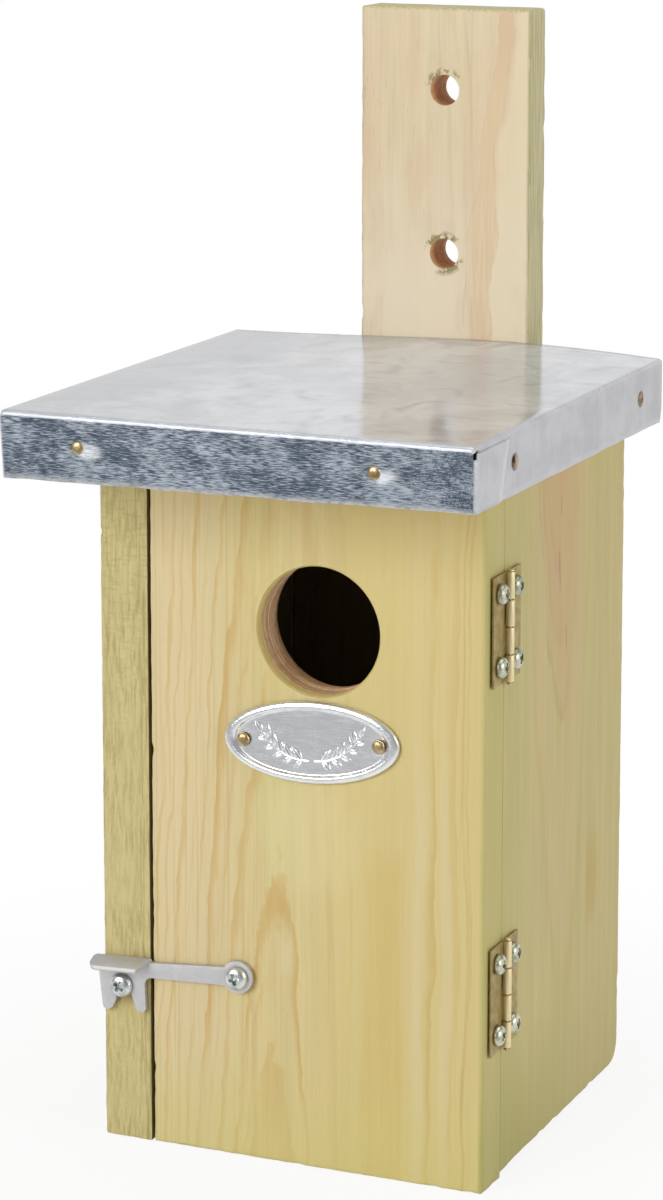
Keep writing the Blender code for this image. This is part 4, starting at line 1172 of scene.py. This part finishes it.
def screw_shape(name, head, radius, length, top, reach, depth):
    """A cross-head screw about Z. head is its profile from the middle out, and top, reach and depth
    set the driver's cross."""
    start, end = -0.0009, 0.0012 - length

    def thread(_, height, turn):
        if not end < height < start:
            return 0
        share = (height / THREAD_PITCH + turn) % 1
        fade = min(1, (start - height) / 0.001, (height - end) / 0.002)
        return radius * THREAD_DEPTH * fade * (max(0, 1 - abs(share - 0.5) * 4) - 0.75)

    shank = [(radius, row) for row in spaced(-0.0006, 0.0026 - length, 0.0002)]
    tip = [(radius * 0.8, 0.0018 - length), (radius * 0.35, 0.0006 - length), (0, -length)]
    made = solid(name, turned([*head, *shank, *tip], 24, thread), None, 32)
    cross = bmesh.new()
    for turn in (0, 90):
        part = bmesh.ops.create_cube(cross, size=1)["verts"]
        for vert in part:
            deep = vert.co.z < 0
            vert.co.x *= 2 * reach * (0.45 if deep else 1)
            vert.co.y *= CROSS_WIDTH * (0.6 if deep else 1)
            vert.co.z = top + (-depth if deep else 0.001)
        bmesh.ops.rotate(cross, verts=part, matrix=Matrix.Rotation(math.radians(turn), 3, "Z"))
    cut(made, solid("driver cross", cross, None), 32, use_self=True)
    return settings(made, hide_render=True)


ZINC_SCREW = metal("bright zinc screw", (0.74, 0.77, 0.76), (0.46, 0.49, 0.47), 0.2)
case_ways = {f"{side}_floor_screw": (0, 1, 0) for side in ("left", "right")}
case_ways.update({
    f"{side}_{place}_roof_screw": (0, 0, 1)
    for side in ("left", "right") for place in ("front", "back", "rear")})
case_screw = screw_shape("case screw shape", FLAT_HEAD, SUNK_SHANK, 0.030, -SUNK, 0.0017, 0.0014)
batten_screw = screw_shape("batten screw shape", FLAT_HEAD, SUNK_SHANK, 0.020, -SUNK, 0.0017, 0.0014)
batten_ways = {node: (0, 1, 0) for node in batten_screws}
driven("case_screws", case_screw, case_ways, -SUNK, ZINC_SCREW, "case", "zinc_screws", 2)
driven("batten_screws", batten_screw, batten_ways, -SUNK, ZINC_SCREW, "case", "zinc_screws", 3)


# Hinges
# Two brass-plated butt hinges, 27 mm long, of half-millimetre strip whose knuckles are rolled round a
# loose pin with peened ends. One leaf lies on the door's edge and the other on the side board.

HINGE_LENGTH = 0.027
LEAF_WIDTH = 0.0092
LEAF_FLAT = 0.0016
LEAF = 0.0005
KNUCKLE_GAP = 0.0002
KNUCKLE_RADIUS = 0.0008
KNUCKLE_TURNS = range(172, -135, -17)
PIN = Vector((0.0526, -0.027, 0))
PIN_RADIUS = 0.00045
HINGES = {"upper": 0.139, "lower": 0.0473}


def painted_knuckle_highlight(at, colour):
    """Plating that is dull and brownish on the flat, and painted lighter on the knuckles as a painted
    highlight.
    """
    x, y, _ = at.parts()
    away = (x - PIN.x * 1000).hypot(y - PIN.y * 1000)
    # Painted highlight: the knuckles near the pin are painted a bright brass.
    return mixed(away.eased(1.12, 1.4, 1, 0), colour, (0.83, 0.71, 0.42))


BRASS_LEAF = metal(
    "brass plated leaf", (0.42, 0.32, 0.125), (0.33, 0.245, 0.09), 0.34, 0.6, 0.75, marks=painted_knuckle_highlight)
BRASS_PIN = metal("brass plated pin", (0.72, 0.58, 0.31), (0.50, 0.39, 0.2), 0.26)


def leaf_bmesh(sign, first, lift):
    """The middle surface of a leaf, relative to the pin: sign is its side of the pin, first its first
    knuckle from the top, and lift how far its free edge stands off the wood."""
    flat = -0.00105
    flat_rows = [
        (flat + lift * max(0, (y - 0.003) / 0.0062) ** 2, y) for y in spaced(LEAF_WIDTH, LEAF_FLAT, 0.0011)]
    path = [*flat_rows, *((flat + 0.00012 * share, LEAF_FLAT - 0.001 * share) for share in (0.33, 0.66))]
    for turn in KNUCKLE_TURNS:
        angle = math.radians(turn)
        path.append((KNUCKLE_RADIUS * math.cos(angle), KNUCKLE_RADIUS * math.sin(angle)))
    ends = [HINGE_LENGTH * (0.5 - share) for share in (0.25, 0.5, 0.75)]
    gaps = [end + way * KNUCKLE_GAP for end in ends for way in (1, -1)]
    levels = [HINGE_LENGTH / 2, *gaps, -HINGE_LENGTH / 2]
    bm = bmesh.new()
    grid = [[bm.verts.new((x, sign * y, z)) for z in levels] for x, y in path]
    skinned(bm, grid[:len(flat_rows)])
    for top in (2 * first, 2 * first + 4):
        skinned(bm, [row[top:top + 2] for row in grid[len(flat_rows) - 1:]])
    bmesh.ops.delete(bm, geom=[vert for vert in bm.verts if not vert.link_faces], context="VERTS")
    bmesh.ops.recalc_face_normals(bm, faces=bm.faces)
    return bm


def eased_edges(piece, width, segments, steepest, angle):
    """Rounds a piece's edges with a narrow bevel."""
    settled(piece, "BEVEL", width=width, segments=segments, limit_method="ANGLE",
            angle_limit=math.radians(steepest))
    smoothed(piece.data, angle)


for where, level in HINGES.items():
    at_pin = PIN + Vector((0, 0, level))
    for kind, sign, first, body, lift in (("door", -1, 0, "door", 0.0002), ("side", 1, 1, "case", 0)):
        bm = leaf_bmesh(sign, first, lift)
        bmesh.ops.translate(bm, vec=at_pin, verts=bm.verts)
        leaf = solid(f"{where}_{kind}_leaf", bm, BRASS_LEAF, 45)
        settled(leaf, "SOLIDIFY", thickness=LEAF * 0.96, offset=0, use_even_offset=True)
        eased_edges(leaf, 0.00007, 2, 50, 40)
        fitted(leaf, body, "brass_plating", f"{where}_hinge_{kind}_leaf")
    end = HINGE_LENGTH / 2 + 0.0003
    peened = (
        (0, 0.0005), (0.0004, 0.00047), (0.0007, 0.00034), (0.00088, 0.0001), (0.0009, 0), (PIN_RADIUS, 0))
    head = [(radius, end + rise) for radius, rise in peened]
    bm = turned([*head, *((radius, -height) for radius, height in reversed(head))], 32)
    bmesh.ops.translate(bm, vec=at_pin, verts=bm.verts)
    pin = solid(f"{where}_peened_pin", bm, BRASS_PIN, 40)
    fitted(pin, "case", "brass_plating", f"{where}_hinge_pin")


# Hinge screws
# Eight small pan-head screws in bright zinc, four to each hinge: two into the door's edge and two
# into the side board.

HINGE_HEAD = 0.00265
PAN_RISE = 0.0018
PAN_SHARES = (
    (0, 1), (0.3, 0.985), (0.55, 0.93), (0.75, 0.8), (0.9, 0.58), (0.98, 0.32), (1, 0.12), (0.97, 0))


def pan_screw(name, head, radius, length, reach, depth):
    """A screw with a domed pan head."""
    dome = [(head * out, PAN_RISE * high) for out, high in PAN_SHARES]
    return screw_shape(name, dome, radius, length, PAN_RISE, reach, depth)


ZINC_SMALL = metal("yellowed zinc screw", (0.62, 0.62, 0.49), (0.33, 0.345, 0.245), 0.2, 0.5, relief=0.00006)
hinge_screw = pan_screw("hinge screw shape", HINGE_HEAD, 0.00125, 0.0098, 0.00165, 0.0014)
for kind, body, seed in (("door", "door", 5), ("side", "case", 8)):
    ways = {
        f"{where}_hinge_{kind}_{place}_screw": (1, 0, 0) for where in HINGES for place in ("top", "bottom")}
    driven(f"{kind}_hinge_screws", hinge_screw, ways, PAN_RISE, ZINC_SMALL, body, "zinc_screws", seed)


# Latch
# A flat hook pressed from 1.2 mm zinc-plated steel: an eye that turns on one screw, an arm, and a
# two-pronged hook over the other screw, with a tab bent forward along its top for the finger.


def tab_tone_and_lip_highlight(at, colour):
    """The tab's front part darker and beiger, and a painted highlight along its lip."""
    reach = at.parts()[1] - span("latch")[0].y
    # The second stain is a painted highlight: the lip's front edge is painted near white.
    return stained(colour, (reach.eased(4.2, 4.7, 0.35, 0), (0.48, 0.455, 0.37)),
                   (reach.eased(0.15, 0.4, 0.9, 0), (0.86, 0.86, 0.88)))


LATCH_STEEL = metal(
    "satin zinc latch", (0.60, 0.60, 0.615), (0.575, 0.575, 0.59), 0.4, 0.5, 0.6, 0.00001, tab_tone_and_lip_highlight)
bm = bmesh.new()
bm.from_mesh(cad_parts["latch"].data)
bmesh.ops.remove_doubles(bm, verts=bm.verts, dist=0.000002)
bmesh.ops.dissolve_limit(bm, angle_limit=math.radians(1.5), verts=bm.verts, edges=bm.edges)
latch = solid("pressed_latch", bm, LATCH_STEEL, 30)
eased_edges(latch, 0.00016, 3, 55, 38)
fitted(latch, "latch", "zinc_latch", "latch")


# Latch screws
# Two larger pan-head screws: the latch turns on the one in the door, and hooks over the one in the
# left side board.

LATCH_HEAD = 0.0031
latch_screw = pan_screw("latch screw shape", LATCH_HEAD, 0.0015, 0.0108, 0.0019, 0.0015)
for name, body, seed in (("pivot_screw", "door", 11), ("catch_screw", "case", 14)):
    ways = {f"latch_{name}": (0, -1, 0)}
    driven(name, latch_screw, ways, PAN_RISE, ZINC_SCREW, body, "zinc_screws", seed)


# Oval plate
# A plate pressed from thin aluminium, with a rolled rim round a panel that bears two plain sprigs of
# leaves, set a little askew under the entrance on two brass nails.

PLATE_LENGTH = 0.0463
PLATE_HEIGHT = 0.0206
PLATE_TILT = math.radians(3.1)
PLATE_CENTRE = Vector((0.00625, -0.03955, 0.1085))
PLATE_NAILS = 0.0358
NAIL_PRESS = 0.0002
NAIL_PRESS_REACH = 0.0024
PANEL = 0.0005
STEM = 0.0003
STEM_SIDES = 8
STEM_STEPS = 16
LEAF_STEPS = 10
LEAF_HALF_STEPS = 4


def pressed_plate():
    """The plate about its middle, facing Z: shares of its radius and heights, then drawn out to an oval."""
    face = [(share, PANEL) for share in spaced(0, 0.77, 0.035)]
    face += [(0.785, 0.00053), (0.8, 0.00066), (0.815, 0.0009), (0.83, 0.00108), (0.85, 0.00118),
             (0.88, 0.0012), (0.915, 0.00113), (0.95, 0.00098), (0.975, 0.0008), (0.99, 0.0006), (1, 0.0003)]
    rear = [(1, 0), (0.985, 0), (0.96, 0.0003), (0.93, 0.0006), (0.895, 0.0007), (0.86, 0.00068),
            (0.83, 0.00055), (0.81, 0.0002), (0.79, 0), (0, 0)]
    bm = turned([*face, *rear], 128)
    for vert in bm.verts:
        share = math.hypot(vert.co.x, vert.co.y)
        if share > 0:
            inset = (1 - share) * PLATE_HEIGHT / 2
            stretch = min(1.45, 1 + 0.45 * (1 - share) / 0.2)
            vert.co.x *= (PLATE_LENGTH / 2 - inset * stretch) / share
            vert.co.y *= PLATE_HEIGHT / 2
        if vert.co.z > 0:
            vert.co.z += 0.00003 * noise.noise(Vector((vert.co.x * 160, vert.co.y * 160, 2)))
            from_nail = math.hypot(abs(vert.co.x) - PLATE_NAILS / 2, vert.co.y)
            vert.co.z -= NAIL_PRESS * math.exp(-((from_nail / NAIL_PRESS_REACH) ** 2))
    return bm


def stem_place(share, side):
    """A place along a sprig's stem, from the middle of the plate outwards, and its direction."""
    a, b, c = Vector((0.7, -4.6)), Vector((8.8, -4.6)), Vector((12.9, 2.2))
    place = (a * (1 - share) ** 2 + b * 2 * share * (1 - share) + c * share**2) * 0.001
    way = ((b - a) * (1 - share) + (c - b) * share).normalized()
    return Vector((place.x * side, place.y)), Vector((way.x * side, way.y))


def leaf_bump(bm, base, way, length, width):
    """One raised leaf: domed to both sides of a pressed vein, and closed under the panel."""
    across = Vector((-way.y, way.x))
    rows = []
    for step in range(LEAF_STEPS + 1):
        u = step / LEAF_STEPS
        half = width * math.sin(math.pi * u**0.85) ** 0.8
        row = []
        for side_step in range(-LEAF_HALF_STEPS, LEAF_HALF_STEPS + 1):
            v = side_step / LEAF_HALF_STEPS
            flat = base + way * (u * length) + across * (v * half)
            swell = (1 - v * v) ** 0.6 * math.sin(math.pi * u) ** 0.5 if 0 < u < 1 else 0
            swell *= 1 - 0.5 * math.exp(-((v / 0.25) ** 2))
            row.append(bm.verts.new((flat.x, flat.y, PANEL - 0.00008 + 0.0006 * swell)))
        rows.append(row)
    skinned(bm, rows)
    rim = {edge for row in rows for vert in row for edge in vert.link_edges if edge.is_boundary}
    bmesh.ops.holes_fill(bm, edges=list(rim), sides=0)


def pressed_sprigs():
    """Two mirrored sprigs of leaves, raised on the plate's panel."""
    bm = bmesh.new()
    for side in (-1, 1):
        rings = []
        for step in range(STEM_STEPS + 1):
            place, way = stem_place(step / STEM_STEPS, side)
            ring = []
            for turn in range(STEM_SIDES):
                angle = math.tau * turn / STEM_SIDES
                flat = place + Vector((-way.y, way.x)) * STEM * math.cos(angle)
                ring.append(bm.verts.new((flat.x, flat.y, PANEL + STEM * math.sin(angle))))
            rings.append(ring)
        skinned(bm, rings, ring=True)
        bm.faces.new(rings[0])
        bm.faces.new(rings[-1])
        for index in range(5):
            share = 0.12 + 0.185 * index
            place, way = stem_place(share, side)
            for lean, length in ((0.8 * side, 0.0043), (-0.8 * side, 0.0033)):
                facing = Matrix.Rotation(lean, 2) @ way
                leaf_bump(bm, place, facing, length - 0.0006 * share, 0.00098 - 0.00012 * share)
        place, way = stem_place(1, side)
        leaf_bump(bm, place - way * 0.0003, way, 0.0036, 0.0009)
    bmesh.ops.remove_doubles(bm, verts=bm.verts, dist=0.0000005)
    bmesh.ops.recalc_face_normals(bm, faces=bm.faces)
    return bm


def pressed_aluminium():
    """Thin pressed aluminium: bright, faintly brushed along its length, with press marks and dull spots."""
    material, at = surface("pressed aluminium")
    brush = at.cloud((0.16, 0.9, 4.2), 3, turn=(0, PLATE_TILT, 0))
    press = at.cloud((0.26, 0.26, 0.26), 3)
    colour = mixed(press.eased(0.35, 0.7), (0.90, 0.91, 0.93), (0.80, 0.815, 0.84))
    gloss = brush.eased(0.3, 0.7, 0.16, 0.26) + press.eased(0.4, 0.7, 0, 0.08)
    return finished(material, colour, gloss, press + brush * 0.2, 0.0001, {"Metallic": 0.9})


standing = Matrix(((1, 0, 0), (0, 0, -1), (0, 1, 0))).to_4x4()
place = Matrix.Translation(PLATE_CENTRE) @ Matrix.Rotation(-PLATE_TILT, 4, "Y") @ standing
bm = joined([(pressed_plate(), place), (pressed_sprigs(), place)])
fitted(solid("pressed_oval_plate", bm, pressed_aluminium(), 40), "door", "pressed_aluminium", "oval_plate")
plate_nail = nail_shape("plate nail shape", 0.0085)
ways = {f"{side}_plate_nail": (0, -1, 0) for side in ("left", "right")}
driven("plate_nails", plate_nail, ways, NAIL_RISE, BRASS, "door", "brass_nails", 6)


# Putting away
# The shapes that the fasteners were copied from aren't part of the box, and the two sizes are kept.

for shape in (roof_nail, case_screw, batten_screw, hinge_screw, latch_screw, plate_nail):
    bpy.data.objects.remove(shape)
